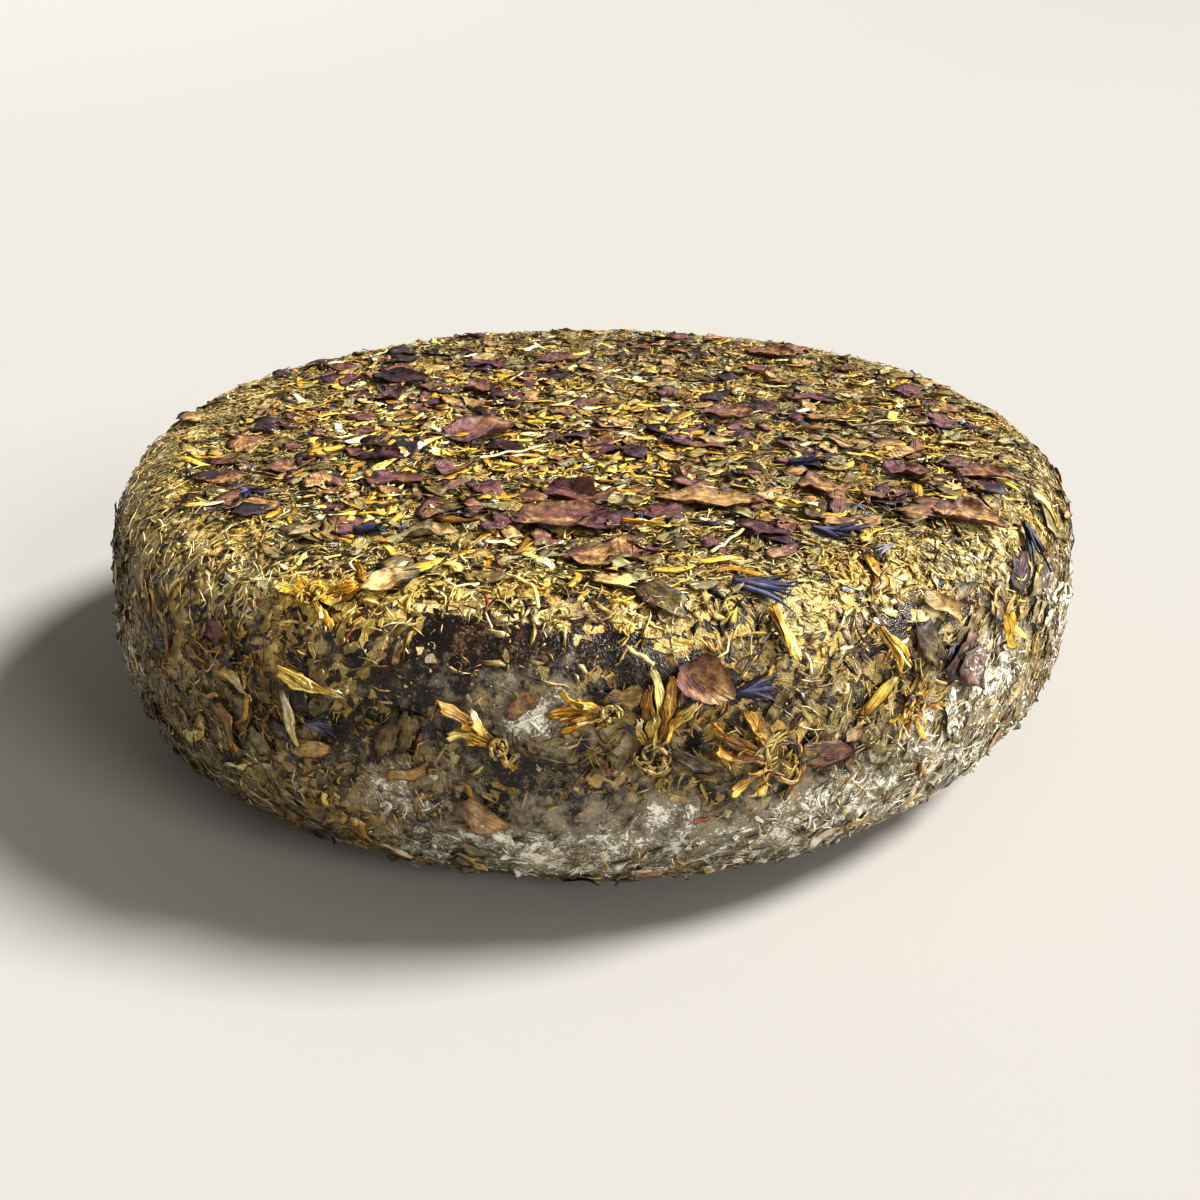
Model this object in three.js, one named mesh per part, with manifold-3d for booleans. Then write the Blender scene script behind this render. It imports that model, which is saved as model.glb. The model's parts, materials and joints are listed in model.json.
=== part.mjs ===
// A whole cheese wheel with a rind crusted in dried meadow flowers: the wheel itself, and the larger petals,
// leaves, florets, flower heads and straws that are pressed onto its rind, each as a piece of its own.
// Millimetres, +Z up. The wheel stands on its flat underside, with the origin at the middle of that face.
import * as THREE from "three";
import { mergeVertices } from "three/addons/utils/BufferGeometryUtils.js";
import Module from "manifold-3d";

const wasm = await Module();
wasm.setup();

// ---- The wheel ----
const SHOULDER_RADIUS = 150;
const WHEEL_HEIGHT = 85;
const BELLY_SWELL = 3; // the wheel has slumped, so its belly is wider than its shoulder
const SHOULDER_ROUND = 23;
const FOOT_ROUND = 38;
const WHEEL_SEGMENTS = 96;
const ROWS = { top: 3, shoulder: 7, wall: 3, foot: 9 };

// Slow swells round the wall: how many lobes, how far in or out, and the azimuth in degrees where one peaks.
const SWELLS = [
  { lobes: 2, swing: 0.7, peak: 35 },
  { lobes: 3, swing: 0.5, peak: -20 },
  { lobes: 6, swing: 0.8, peak: -75 },
];

// ---- The pieces in the crust ----
const REST_GAP = 0.35; // air between a piece and the rind
const PETAL_THICK = 0.6;
const FLORET_THICK = 0.6;
const STRAW_THICK = 1.1;
const DISC_RISE = 2.2; // how far the middle of a pressed flower head stands up

const COLOURS = {
  rind: 0x5b4a2b,
  rose: 0x8a5a60,
  marigold: 0xd39a2c,
  cornflower: 0x3a3c66,
  leaf: 0x8d8555,
  straw: 0xe0d3a0,
};

const radians = THREE.MathUtils.degToRad;

function material(colour, roughness) {
  return new THREE.MeshStandardMaterial({ color: colour, roughness, metalness: 0 });
}

const TOP_FLAT = SHOULDER_RADIUS - SHOULDER_ROUND;
const FOOT_FLAT = SHOULDER_RADIUS + BELLY_SWELL - FOOT_ROUND;

// The angle at which the wall leans out going down, so that it runs straight off both rounds.
function wallLean() {
  const rise = WHEEL_HEIGHT - SHOULDER_ROUND - FOOT_ROUND;
  const between = new THREE.Vector2(TOP_FLAT - FOOT_FLAT, rise);
  return between.angle() - Math.acos((FOOT_ROUND - SHOULDER_ROUND) / between.length());
}

const WALL_LEAN = wallLean();

// Half of the wheel's section, from the middle of the top, over the shoulder and down the wall to the foot.
function wheelSection() {
  const section = new THREE.Path();
  section.moveTo(0, WHEEL_HEIGHT);
  section.lineTo(TOP_FLAT, WHEEL_HEIGHT);
  section.absarc(TOP_FLAT, WHEEL_HEIGHT - SHOULDER_ROUND, SHOULDER_ROUND, Math.PI / 2, WALL_LEAN, true);
  section.absarc(FOOT_FLAT, FOOT_ROUND, FOOT_ROUND, WALL_LEAN, -Math.PI / 2, true);
  return section;
}

const SECTION = wheelSection();
const SECTION_LENGTH = SECTION.getLength();
const FINE_SECTION = SECTION.getSpacedPoints(600);

// How far the rind stands out or in at an azimuth: in full at the shoulder radius, not at all in the middle.
function swellAt(azimuth, radius) {
  const swings = SWELLS.map(({ lobes, swing, peak }) => swing * Math.cos(lobes * (azimuth - radians(peak))));
  return (radius / SHOULDER_RADIUS) ** 2 * swings.reduce((sum, swing) => sum + swing, 0);
}

// The point at a height over the rind, from its azimuth and its share of the section's length (0 to 1).
function rindAt(azimuth, share, lift) {
  const at = SECTION.getPointAt(share);
  const along = SECTION.getTangentAt(share);
  const radius = at.x + swellAt(azimuth, at.x) - along.y * lift;
  return new THREE.Vector3(radius * Math.cos(azimuth), radius * Math.sin(azimuth), at.y + along.x * lift);
}

// The share of the section's length at which it passes nearest to a point beside the wheel.
function nearestShare(radius, height) {
  const gaps = FINE_SECTION.map((p) => (p.x - radius) ** 2 + (p.y - height) ** 2);
  const best = gaps.indexOf(Math.min(...gaps));
  const [low, high] = [Math.max(best - 1, 0), Math.min(best + 1, FINE_SECTION.length - 1)];
  const [from, to] = [FINE_SECTION[low], FINE_SECTION[high]];
  const run = to.clone().sub(from);
  const passed = new THREE.Vector2(radius, height).sub(from).dot(run) / run.lengthSq();
  const t = THREE.MathUtils.clamp(passed, 0, 1);
  return (low + t * (high - low)) / (FINE_SECTION.length - 1);
}

// Carries a flat point, u along and v across a piece, onto the rind at the piece's place, lift above it.
function settle(place, u, v, lift) {
  const azimuth = radians(place.azimuth);
  const share = place.along / SECTION_LENGTH;
  const tangent = SECTION.getTangentAt(share);
  const outward = new THREE.Vector3(tangent.x * Math.cos(azimuth), tangent.x * Math.sin(azimuth), tangent.y);
  const round = new THREE.Vector3(-Math.sin(azimuth), Math.cos(azimuth), 0);
  const turn = radians(place.turn);
  const flat = rindAt(azimuth, share, 0)
    .addScaledVector(outward, u * Math.cos(turn) - v * Math.sin(turn))
    .addScaledVector(round, u * Math.sin(turn) + v * Math.cos(turn));
  const under = placeUnder(flat);
  return rindAt(under.azimuth, under.share, lift);
}

// Where on the rind a point near it lies: its azimuth and its share of the section's length.
function placeUnder(point) {
  const radius = Math.hypot(point.x, point.y);
  const azimuth = Math.atan2(point.y, point.x);
  return { azimuth, share: nearestShare(radius - swellAt(azimuth, radius), point.z) };
}

function closedGeometry(points, faces) {
  const geometry = new THREE.BufferGeometry().setFromPoints(points);
  geometry.setIndex(faces);
  geometry.computeVertexNormals();
  return geometry;
}

// A thin blade: a grid along and across an outline, with an upper and an under side joined round the rim.
// outline gives the half width from 0 (base) to 1 (tip), rise the height of a place on the blade above its
// resting height, and bend how far the middle line is bowed sideways.
function blade(place, { thick, outline, rise = () => 0, bend = () => 0, steps, across }) {
  const points = [];
  for (const side of [thick, 0])
    for (let i = 0; i <= steps; i++)
      for (let j = 0; j <= across; j++) {
        const [t, w] = [i / steps, (2 * j) / across - 1];
        const v = w * outline(t) * (place.wide / 2) + bend(t);
        points.push(settle(place, (t - 0.5) * place.long, v, REST_GAP + rise(t, w) + side));
      }
  const row = across + 1;
  const layer = (steps + 1) * row;
  const faces = [];
  const quad = (a, b, c, d) => faces.push(a, b, c, a, c, d);
  for (let i = 0; i < steps; i++)
    for (let j = 0; j < across; j++) {
      const a = i * row + j;
      quad(a, a + row, a + row + 1, a + 1);
      quad(layer + a, layer + a + 1, layer + a + row + 1, layer + a + row);
    }
  for (let i = 0; i < steps; i++) {
    const [low, high] = [i * row, i * row + across];
    quad(low, layer + low, layer + low + row, low + row);
    quad(high, high + row, layer + high + row, layer + high);
  }
  for (let j = 0; j < across; j++) {
    const end = steps * row + j;
    quad(j, j + 1, layer + j + 1, layer + j);
    quad(end, layer + end, layer + end + 1, end + 1);
  }
  return closedGeometry(points, faces);
}

// ---- Outlines, as half widths from base to tip ----
const roseOutline = (t) => 0.28 + 0.72 * Math.sin(Math.PI * (0.08 + 0.8 * t)) ** 0.8 - 0.35 * t ** 6;
const strapOutline = (t) => 0.55 + 0.45 * Math.sin(Math.PI * (0.12 + 0.7 * t)) - 0.25 * t ** 8;
const leafOutline = (t) => 0.1 + 0.9 * Math.sin(Math.PI * (0.04 + 0.92 * t)) ** 0.8;
const funnelOutline = (t) => 0.22 + 0.78 * THREE.MathUtils.smoothstep(t, 0.15, 0.8) - 0.2 * t ** 6;

// A petal whose edges stand up by cup and whose tip stands up by tip.
function rosePetal(place) {
  const { cup = 0.8, tip = 0 } = place;
  const rise = (t, w) => cup * w * w * Math.sin(Math.PI * t) + tip * t * t;
  return blade(place, { thick: PETAL_THICK, outline: roseOutline, rise, steps: 7, across: 4 });
}

// A leaf folded along its midrib.
function leaf(place) {
  const rise = (t, w) => 0.5 * Math.abs(w) + 0.4 * Math.sin(2 * Math.PI * t) ** 2;
  return blade(place, { thick: PETAL_THICK, outline: leafOutline, rise, steps: 6, across: 4 });
}

// A strap-shaped floret, ridged along its middle.
function rayFloret(place) {
  const rise = (t, w) => 0.5 * (1 - w * w);
  return blade(place, { thick: FLORET_THICK, outline: strapOutline, rise, steps: 6, across: 2 });
}

// A floret that opens from a narrow tube to a wide mouth.
function funnelFloret(place) {
  const rise = (t, w) => 0.6 * t * (1 - w * w);
  return blade(place, { thick: FLORET_THICK, outline: funnelOutline, rise, steps: 5, across: 4 });
}

// A straw is nearly as thick as it is wide, and is bowed sideways by bow.
function straw(place) {
  const bend = (t) => place.bow * Math.sin(Math.PI * t);
  return blade(place, { thick: STRAW_THICK, outline: () => 1, bend, steps: 8, across: 1 });
}

function solidOf(geometry) {
  const bare = new THREE.BufferGeometry();
  bare.setAttribute("position", geometry.getAttribute("position"));
  bare.setIndex(geometry.index);
  const merged = mergeVertices(bare, 1e-4);
  return new wasm.Manifold(
    new wasm.Mesh({
      numProp: 3,
      vertProperties: merged.getAttribute("position").array,
      triVerts: new Uint32Array(merged.index.array),
    }),
  );
}

function geometryOf(solid) {
  const mesh = solid.getMesh();
  const geometry = new THREE.BufferGeometry();
  geometry.setAttribute("position", new THREE.BufferAttribute(mesh.vertProperties, 3));
  geometry.setIndex(new THREE.BufferAttribute(mesh.triVerts, 1));
  geometry.computeVertexNormals();
  return geometry;
}

// The domed middle of a flower head, bent onto the rind.
function headDisc(place) {
  const outline = [
    [0, 0],
    [0.9, 0],
    [1, 0.25],
    [0.9, 0.6],
    [0.55, 0.9],
    [0, 1],
  ].map(([out, up]) => new THREE.Vector2((out * place.disc) / 2, REST_GAP + up * DISC_RISE));
  const dome = new THREE.LatheGeometry(outline, 14);
  const at = dome.getAttribute("position");
  for (let i = 0; i < at.count; i++) {
    const settled = settle(place, at.getZ(i), at.getX(i), at.getY(i));
    at.setXYZ(i, settled.x, settled.y, settled.z);
  }
  return dome;
}

// A pressed flower head: a domed disc, with ray florets that start inside it and lie to one side.
function flowerHead(place) {
  let solid = solidOf(headDisc(place));
  for (const [turn, long, wide] of place.rays) {
    const reach = place.disc * 0.2 + long / 2;
    const [out, round] = [reach * Math.cos(radians(turn)), reach * Math.sin(radians(turn))];
    const under = placeUnder(settle(place, out, round, 0));
    const azimuth = THREE.MathUtils.radToDeg(under.azimuth);
    const along = under.share * SECTION_LENGTH;
    solid = solid.add(solidOf(rayFloret({ azimuth, along, turn: place.turn + turn, long, wide })));
  }
  return geometryOf(solid);
}

function wheelGeometry() {
  const stops = [];
  const spread = (from, to, count) => {
    for (let i = 0; i < count; i++) stops.push((from + ((to - from) * i) / count) / SECTION_LENGTH);
  };
  const shoulderEnd = TOP_FLAT + SHOULDER_ROUND * (Math.PI / 2 - WALL_LEAN);
  const wallEnd = SECTION_LENGTH - FOOT_ROUND * (Math.PI / 2 + WALL_LEAN);
  spread(0, TOP_FLAT, ROWS.top);
  spread(TOP_FLAT, shoulderEnd, ROWS.shoulder);
  spread(shoulderEnd, wallEnd, ROWS.wall);
  spread(wallEnd, SECTION_LENGTH, ROWS.foot);
  const outline = [...stops, 1].map((s) => SECTION.getPointAt(s)).map((p) => new THREE.Vector2(p.x, p.y));
  outline.push(new THREE.Vector2(0, 0));
  const wheel = new THREE.LatheGeometry(outline.reverse(), WHEEL_SEGMENTS).rotateX(Math.PI / 2);
  const at = wheel.getAttribute("position");
  for (let i = 0; i < at.count; i++) {
    const radius = Math.hypot(at.getX(i), at.getY(i));
    if (radius < 1e-6) continue;
    const grown = 1 + swellAt(Math.atan2(at.getY(i), at.getX(i)), radius) / radius;
    at.setXYZ(i, at.getX(i) * grown, at.getY(i) * grown, at.getZ(i));
  }
  wheel.computeVertexNormals();
  return wheel;
}

// ---- Where each piece lies ----
// azimuth is in degrees from +X. along is in millimetres over the rind from the middle of the top: up to 127
// is the top, to 160 the shoulder, to 182 the wall, and beyond it the foot. turn is the way a piece points,
// in degrees from outward and down towards the anticlockwise side.
const ROSE_PETALS = [
  { azimuth: -156, along: 38, turn: -154, long: 25, wide: 21, cup: 1.6, tip: 0.6 },
  { azimuth: -132, along: 82, turn: 121, long: 19, wide: 12 },
  { azimuth: -127, along: 65, turn: 162, long: 14, wide: 10 },
  { azimuth: -147, along: 74, turn: 146, long: 14, wide: 11 },
  { azimuth: 146, along: 86, turn: 175, long: 26, wide: 19, cup: 1.2 },
  { azimuth: 162, along: 74, turn: -133, long: 12, wide: 12 },
  { azimuth: 120, along: 79, turn: -121, long: 17, wide: 13 },
  { azimuth: 140, along: 52, turn: -140, long: 14, wide: 13 },
  { azimuth: 100, along: 76, turn: -83, long: 18, wide: 13 },
  { azimuth: -95, along: 73, turn: 57, long: 21, wide: 10, cup: 2.2, tip: 1.2 },
  { azimuth: -95, along: 92, turn: 86, long: 25, wide: 17, cup: 1.2, tip: 1.5 },
  { azimuth: -90, along: 116, turn: 80, long: 14, wide: 14 },
  { azimuth: -69, along: 83, turn: 57, long: 27, wide: 15, cup: 1.0 },
  { azimuth: -47, along: 94, turn: 9, long: 20, wide: 11 },
  { azimuth: -32, along: 105, turn: 1, long: 15, wide: 12 },
  { azimuth: -27, along: 124, turn: 5, long: 19, wide: 13 },
  { azimuth: -42, along: 131, turn: 17, long: 18, wide: 14, cup: 1.8 },
  { azimuth: 3, along: 44, turn: -11, long: 19, wide: 15 },
  { azimuth: 50, along: 110, turn: -79, long: 21, wide: 16 },
  { azimuth: -150, along: 100, turn: 169, long: 13, wide: 11 },
  { azimuth: -80.5, along: 155, turn: 57, long: 13, wide: 10, cup: 1.2 },
  { azimuth: -96, along: 160, turn: 122, long: 8, wide: 6 },
  { azimuth: -100, along: 188, turn: 68, long: 13, wide: 9 },
];

const LEAVES = [
  { azimuth: -112, along: 108, turn: 112, long: 15, wide: 11 },
  { azimuth: -84, along: 80, turn: 69, long: 12, wide: 8 },
  { azimuth: -110, along: 133, turn: 132, long: 15, wide: 9 },
  { azimuth: -55, along: 150, turn: 59, long: 13, wide: 6 },
];

const RAY_FLORETS = [
  { azimuth: -73, along: 147, turn: 10, long: 13, wide: 3.2 },
  { azimuth: -115, along: 161, turn: 80, long: 18, wide: 4.2 },
  { azimuth: -45, along: 164, turn: 23, long: 11, wide: 4 },
  { azimuth: -62, along: 156, turn: 28, long: 14, wide: 2.4 },
  { azimuth: -57, along: 99, turn: 29, long: 12, wide: 5 },
  { azimuth: -82, along: 97, turn: 69, long: 13, wide: 4.5 },
  { azimuth: -137, along: 58, turn: 161, long: 12, wide: 5 },
];

// Each ray is its turn from the head's own, its length and its width.
const FLOWER_HEADS = [
  { azimuth: -98, along: 170, turn: -125, disc: 6, rays: [[0, 15, 2.8], [26, 10, 2.6]] },
  { azimuth: -88.5, along: 161, turn: -88, disc: 5, rays: [[-18, 11, 2.8], [0, 12, 2.8], [18, 11, 2.8]] },
  { azimuth: -85, along: 172, turn: 180, disc: 8, rays: [[-32, 13, 3.2], [-12, 16, 3.6], [6, 18, 3.2]] },
  { azimuth: -74, along: 176, turn: -120, disc: 12, rays: [[0, 16, 3.4], [-26, 12, 3.2], [56, 9, 3]] },
  { azimuth: -117, along: 142, turn: 90, disc: 8, rays: [[180, 7, 3.2], [30, 8, 3.2], [-35, 8, 3.2]] },
  { azimuth: -60, along: 171, turn: 10, disc: 7, rays: [[-40, 8, 2.6], [10, 8, 2.6], [60, 8, 2.6]] },
];

const CORNFLOWERS = [
  { azimuth: -59, along: 119, turn: 25, long: 14, wide: 10 },
  { azimuth: -73, along: 135, turn: 63, long: 16, wide: 8 },
  { azimuth: -114, along: 171, turn: 102, long: 10, wide: 8 },
  { azimuth: -142, along: 116, turn: 98, long: 10, wide: 8 },
  { azimuth: -76, along: 158, turn: 91, long: 11, wide: 7 },
  { azimuth: -119, along: 112, turn: 119, long: 11, wide: 9 },
  { azimuth: -37, along: 148, turn: -32, long: 14, wide: 8 },
  { azimuth: -38, along: 78, turn: 28, long: 9, wide: 6 },
];

const STRAWS = [
  { azimuth: -121, along: 45, turn: 157, long: 24, wide: 1.3, bow: 1.4 },
  { azimuth: -73, along: 112, turn: 128, long: 17, wide: 1.6, bow: 0 },
  { azimuth: -5, along: 98, turn: 1, long: 18, wide: 1.2, bow: -1.6 },
  { azimuth: -97, along: 133, turn: 40, long: 15, wide: 1.1, bow: 2.4 },
  { azimuth: -86, along: 149, turn: 57, long: 7, wide: 1.4, bow: 0 },
];

const cheese = new THREE.Group();

function addPiece(name, geometry, finish) {
  const mesh = new THREE.Mesh(geometry, finish);
  mesh.name = name;
  cheese.add(mesh);
}

function addPieces(name, places, shape, finish) {
  places.forEach((place, i) => addPiece(`${name}_${String(i + 1).padStart(2, "0")}`, shape(place), finish));
}

addPiece("cheese_wheel", wheelGeometry(), material(COLOURS.rind, 0.6));
addPieces("rose_petal", ROSE_PETALS, rosePetal, material(COLOURS.rose, 0.7));
addPieces("leaf", LEAVES, leaf, material(COLOURS.leaf, 0.75));
addPieces("marigold_floret", RAY_FLORETS, rayFloret, material(COLOURS.marigold, 0.6));
addPieces("marigold_head", FLOWER_HEADS, flowerHead, material(COLOURS.marigold, 0.6));
addPieces("cornflower_floret", CORNFLOWERS, funnelFloret, material(COLOURS.cornflower, 0.7));
addPieces("straw", STRAWS, straw, material(COLOURS.straw, 0.6));

export default cheese;
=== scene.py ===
"""A whole cheese wheel whose rind is crusted in dried flowers, herbs and straw.

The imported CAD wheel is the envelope. The visible rind lies just inside it, and the dried pieces lie on that
rind in loose layers, as they do in a real crust: thousands of small ones strewn by Geometry Nodes, and the
larger petals, florets, flower heads, leaves and straws at the places of their CAD nodes.
"""

from __future__ import annotations

import json
import logging
import math
from dataclasses import dataclass
from enum import Enum
from functools import cache

import bpy
import numpy as np
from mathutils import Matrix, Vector, noise
from mathutils.bvhtree import BVHTree

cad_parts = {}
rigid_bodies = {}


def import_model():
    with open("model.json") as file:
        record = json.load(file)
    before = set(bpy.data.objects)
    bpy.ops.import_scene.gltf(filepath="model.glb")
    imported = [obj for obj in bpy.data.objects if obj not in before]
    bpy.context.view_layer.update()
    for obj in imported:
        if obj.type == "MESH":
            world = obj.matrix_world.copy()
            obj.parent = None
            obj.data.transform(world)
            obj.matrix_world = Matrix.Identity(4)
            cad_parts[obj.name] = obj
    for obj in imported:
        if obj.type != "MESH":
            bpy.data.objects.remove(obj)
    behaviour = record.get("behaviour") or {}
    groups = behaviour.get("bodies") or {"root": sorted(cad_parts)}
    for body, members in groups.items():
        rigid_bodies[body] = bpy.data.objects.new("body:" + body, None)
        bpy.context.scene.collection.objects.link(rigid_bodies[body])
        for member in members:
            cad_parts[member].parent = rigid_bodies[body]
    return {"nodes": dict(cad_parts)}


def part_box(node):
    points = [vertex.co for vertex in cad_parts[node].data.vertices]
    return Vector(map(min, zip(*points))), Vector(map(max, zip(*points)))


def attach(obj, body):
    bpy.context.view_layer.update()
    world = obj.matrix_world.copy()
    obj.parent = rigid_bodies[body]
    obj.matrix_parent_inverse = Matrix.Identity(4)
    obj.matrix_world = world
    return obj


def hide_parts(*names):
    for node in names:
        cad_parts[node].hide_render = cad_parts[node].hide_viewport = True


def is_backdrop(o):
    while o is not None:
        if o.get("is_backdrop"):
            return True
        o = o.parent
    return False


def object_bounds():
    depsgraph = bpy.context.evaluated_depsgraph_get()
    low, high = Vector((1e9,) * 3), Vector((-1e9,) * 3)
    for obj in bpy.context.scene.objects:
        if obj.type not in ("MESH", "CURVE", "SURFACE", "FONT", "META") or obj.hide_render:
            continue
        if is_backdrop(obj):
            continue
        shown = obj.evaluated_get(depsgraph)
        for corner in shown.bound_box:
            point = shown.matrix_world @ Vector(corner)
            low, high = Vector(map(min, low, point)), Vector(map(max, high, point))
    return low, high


Tree = bpy.types.NodeTree
Node = bpy.types.Node
Socket = bpy.types.NodeSocket
Mesh = bpy.types.Mesh
Material = bpy.types.Material
Random = np.random.Generator
Stops = tuple[tuple[float, str], ...]
Range = tuple[float, float]
Frame = dict[str, bpy.types.Object]

MM = 0.001
CM2_IN_M2 = 1e4
TURN = 2 * math.pi
BODY = "root"
CAD_WHEEL = "cheese_wheel"
FLAT_MAP = "flat_map"  # the UV map that lies along and across a flake, petal or straw
TABLE_GAP = 0.05 * MM  # how far every piece stays over the table

# Kinds of node, with their settings. Their inputs are given in their own order: a noise's are its vector,
# scale, detail and roughness, and a map range's its value, the range it is read from and the one it fills.
NOISE = "ShaderNodeTexNoise"
MAP_RANGE = "ShaderNodeMapRange"
RAMP = "ShaderNodeValToRGB"
ATTRIBUTE = "ShaderNodeAttribute"
SPLIT = "ShaderNodeSeparateXYZ"
JOIN = "ShaderNodeCombineXYZ"
MIXED = "ShaderNodeMix data_type=RGBA"
TINTED = "ShaderNodeMix data_type=RGBA blend_type=MULTIPLY"
PLUS = "ShaderNodeMath operation=ADD"
MINUS = "ShaderNodeMath operation=SUBTRACT"
TIMES = "ShaderNodeMath operation=MULTIPLY"
TIMES_PLUS = "ShaderNodeMath operation=MULTIPLY_ADD"
POWER = "ShaderNodeMath operation=POWER"
LARGER = "ShaderNodeMath operation=MAXIMUM"
OVER = "ShaderNodeMath operation=GREATER_THAN"
ABSOLUTE = "ShaderNodeMath operation=ABSOLUTE"
SINE = "ShaderNodeMath operation=SINE"
FRACTION = "ShaderNodeMath operation=FRACT"
ANGLE = "ShaderNodeMath operation=ARCTAN2"
VECTORS_PLUS = "ShaderNodeVectorMath operation=ADD"
VECTORS_MINUS = "ShaderNodeVectorMath operation=SUBTRACT"
VECTORS_TIMES = "ShaderNodeVectorMath operation=MULTIPLY"
VECTORS_TIMES_PLUS = "ShaderNodeVectorMath operation=MULTIPLY_ADD"
SCALED = "ShaderNodeVectorMath operation=SCALE"
NORMALIZED = "ShaderNodeVectorMath operation=NORMALIZE"
DOT = "ShaderNodeVectorMath operation=DOT_PRODUCT"
STORED = "GeometryNodeInputNamedAttribute data_type=FLOAT"
STORED_VECTOR = "GeometryNodeInputNamedAttribute data_type=FLOAT_VECTOR"
SET_POSITION = "GeometryNodeSetPosition"

log = logging.getLogger("cheese_wheel")


# ---- Small tools ----


def linear(code: str) -> tuple[float, float, float, float]:
    """Turns an sRGB hex colour into the linear colour that Blender's sockets hold.

    Args:
        code: six hex digits.

    Returns:
        Linear red, green and blue, and an alpha of 1.
    """
    shares = [int(code[i : i + 2], 16) / 255 for i in (0, 2, 4)]
    red, green, blue = [s / 12.92 if s <= 0.04045 else ((s + 0.055) / 1.055) ** 2.4 for s in shares]
    return red, green, blue, 1.0


def add(tree: Tree, kind: str, *inputs: object, stops: Stops = (), **settings: object) -> Node:
    """Adds one node to a tree, with its settings and what goes into it.

    Args:
        tree: the shader or geometry node tree.
        kind: the node's type name, with any settings that go with it.
        *inputs: what goes into the inputs that are in use, in order, or one dict by the inputs' names. A
            socket is linked, a node is linked by its first output, None leaves the input alone, and
            anything else is its value.
        stops: a colour ramp's stops, as place and hex colour.
        **settings: more of the node's own settings.

    Returns:
        The new node.
    """
    kind, *preset = kind.split()
    node = tree.nodes.new(kind)
    for key, value in [part.split("=") for part in preset] + list(settings.items()):
        setattr(node, key, value)
    for number, (place, code) in enumerate(stops):
        elements = node.color_ramp.elements
        element = elements[number] if number < len(elements) else elements.new(1.0)
        element.position = place
        element.color = linear(code)
    if inputs and isinstance(inputs[0], dict):
        pairs = [(node.inputs[name], value) for name, value in inputs[0].items()]
    else:
        pairs = zip([socket for socket in node.inputs if socket.enabled], inputs)
    for socket, value in pairs:
        if isinstance(value, Node):
            value = next(out for out in value.outputs if out.enabled)
        if isinstance(value, Socket):
            tree.links.new(value, socket)
        elif value is not None:
            socket.default_value = value
    return node


def smooth(low: float, high: float, value: np.ndarray) -> np.ndarray:
    """Rises smoothly from 0 at low to 1 at high."""
    t = np.clip((value - low) / (high - low), 0.0, 1.0)
    return t * t * (3 - 2 * t)


def cloud(points: np.ndarray, size: float, seed: int) -> np.ndarray:
    """Soft random patches over points in space.

    Args:
        points: positions in metres, one a row.
        size: how far it is from one patch to the next, in millimetres.
        seed: which patches.

    Returns:
        One value for each point, from about -1 to 1.
    """
    shift = Vector((seed * 7.31, seed * 3.17, seed * 5.53))
    scale = 1 / (size * MM)
    return np.array([noise.noise(Vector(p) * scale + shift) for p in points])


def apart(azimuth: np.ndarray, other: float) -> np.ndarray:
    """How far azimuths lie anticlockwise from another, in radians from minus half a turn to half a turn."""
    return (azimuth - other + math.pi) % TURN - math.pi


def disc_grid(steps: int, across: int) -> tuple[np.ndarray, np.ndarray]:
    """A square grid pressed into a disc of radius 1, so that its four corners leave no spikes."""
    u, v = np.meshgrid(np.linspace(-1, 1, steps), np.linspace(-1, 1, across), indexing="ij")
    return u * np.sqrt(1 - v * v / 2), v * np.sqrt(1 - u * u / 2)


def mesh_from(name: str, vertices: np.ndarray, faces: list, smoothed: bool = True) -> Mesh:
    """Makes a mesh from vertices in metres and faces.

    Args:
        name: the mesh's name.
        vertices: positions, one a row.
        faces: each face's vertex numbers, anticlockwise from outside.
        smoothed: whether its faces are shaded smooth.

    Returns:
        The mesh.
    """
    mesh = bpy.data.meshes.new(name)
    mesh.from_pydata([tuple(v) for v in vertices], [], [tuple(f) for f in faces])
    if smoothed:
        mesh.polygons.foreach_set("use_smooth", [True] * len(mesh.polygons))
    mesh.update()
    return mesh


def store(mesh: Mesh, **named: np.ndarray) -> None:
    """Stores numbers or vectors, one for each vertex of a mesh, as attributes.

    Args:
        mesh: the mesh.
        **named: each attribute's values by its name.
    """
    for name, values in named.items():
        kind, part = ("FLOAT", "value") if values.ndim == 1 else ("FLOAT_VECTOR", "vector")
        attribute = mesh.attributes.new(name, kind, "POINT")
        attribute.data.foreach_set(part, values.astype(np.float32).ravel())


def lay_map(mesh: Mesh, places: np.ndarray) -> None:
    """Gives a mesh its flat map.

    Args:
        mesh: the mesh.
        places: each vertex's place along and across the piece, both from 0 to 1.
    """
    corners = np.empty(len(mesh.loops), dtype=np.int32)
    mesh.loops.foreach_get("vertex_index", corners)
    layer = mesh.uv_layers.new(name=FLAT_MAP)
    layer.data.foreach_set("uv", places[corners].astype(np.float32).ravel())


def vertices_of(mesh: Mesh) -> np.ndarray:
    """Reads a mesh's vertex positions.

    Args:
        mesh: the mesh.

    Returns:
        Its vertices' positions, one a row.
    """
    flat = np.empty(len(mesh.vertices) * 3, dtype=np.float32)
    mesh.vertices.foreach_get("co", flat)
    return flat.reshape(-1, 3).astype(float)


def show(name: str, mesh: Mesh, replaced: tuple[str, ...] = ()) -> None:
    """Links a finished mesh into the scene as a piece that rides on the wheel's one body.

    Args:
        name: the piece's name.
        mesh: its mesh, with its place in it.
        replaced: the CAD nodes that it stands for.
    """
    piece = bpy.data.objects.new(name, mesh)
    bpy.context.scene.collection.objects.link(piece)
    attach(piece, BODY)
    if replaced:
        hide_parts(*replaced)
    mesh.calc_loop_triangles()
    log.info("%s: %d triangles", name, len(mesh.loop_triangles))


# ---- The wheel's surface ----


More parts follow.
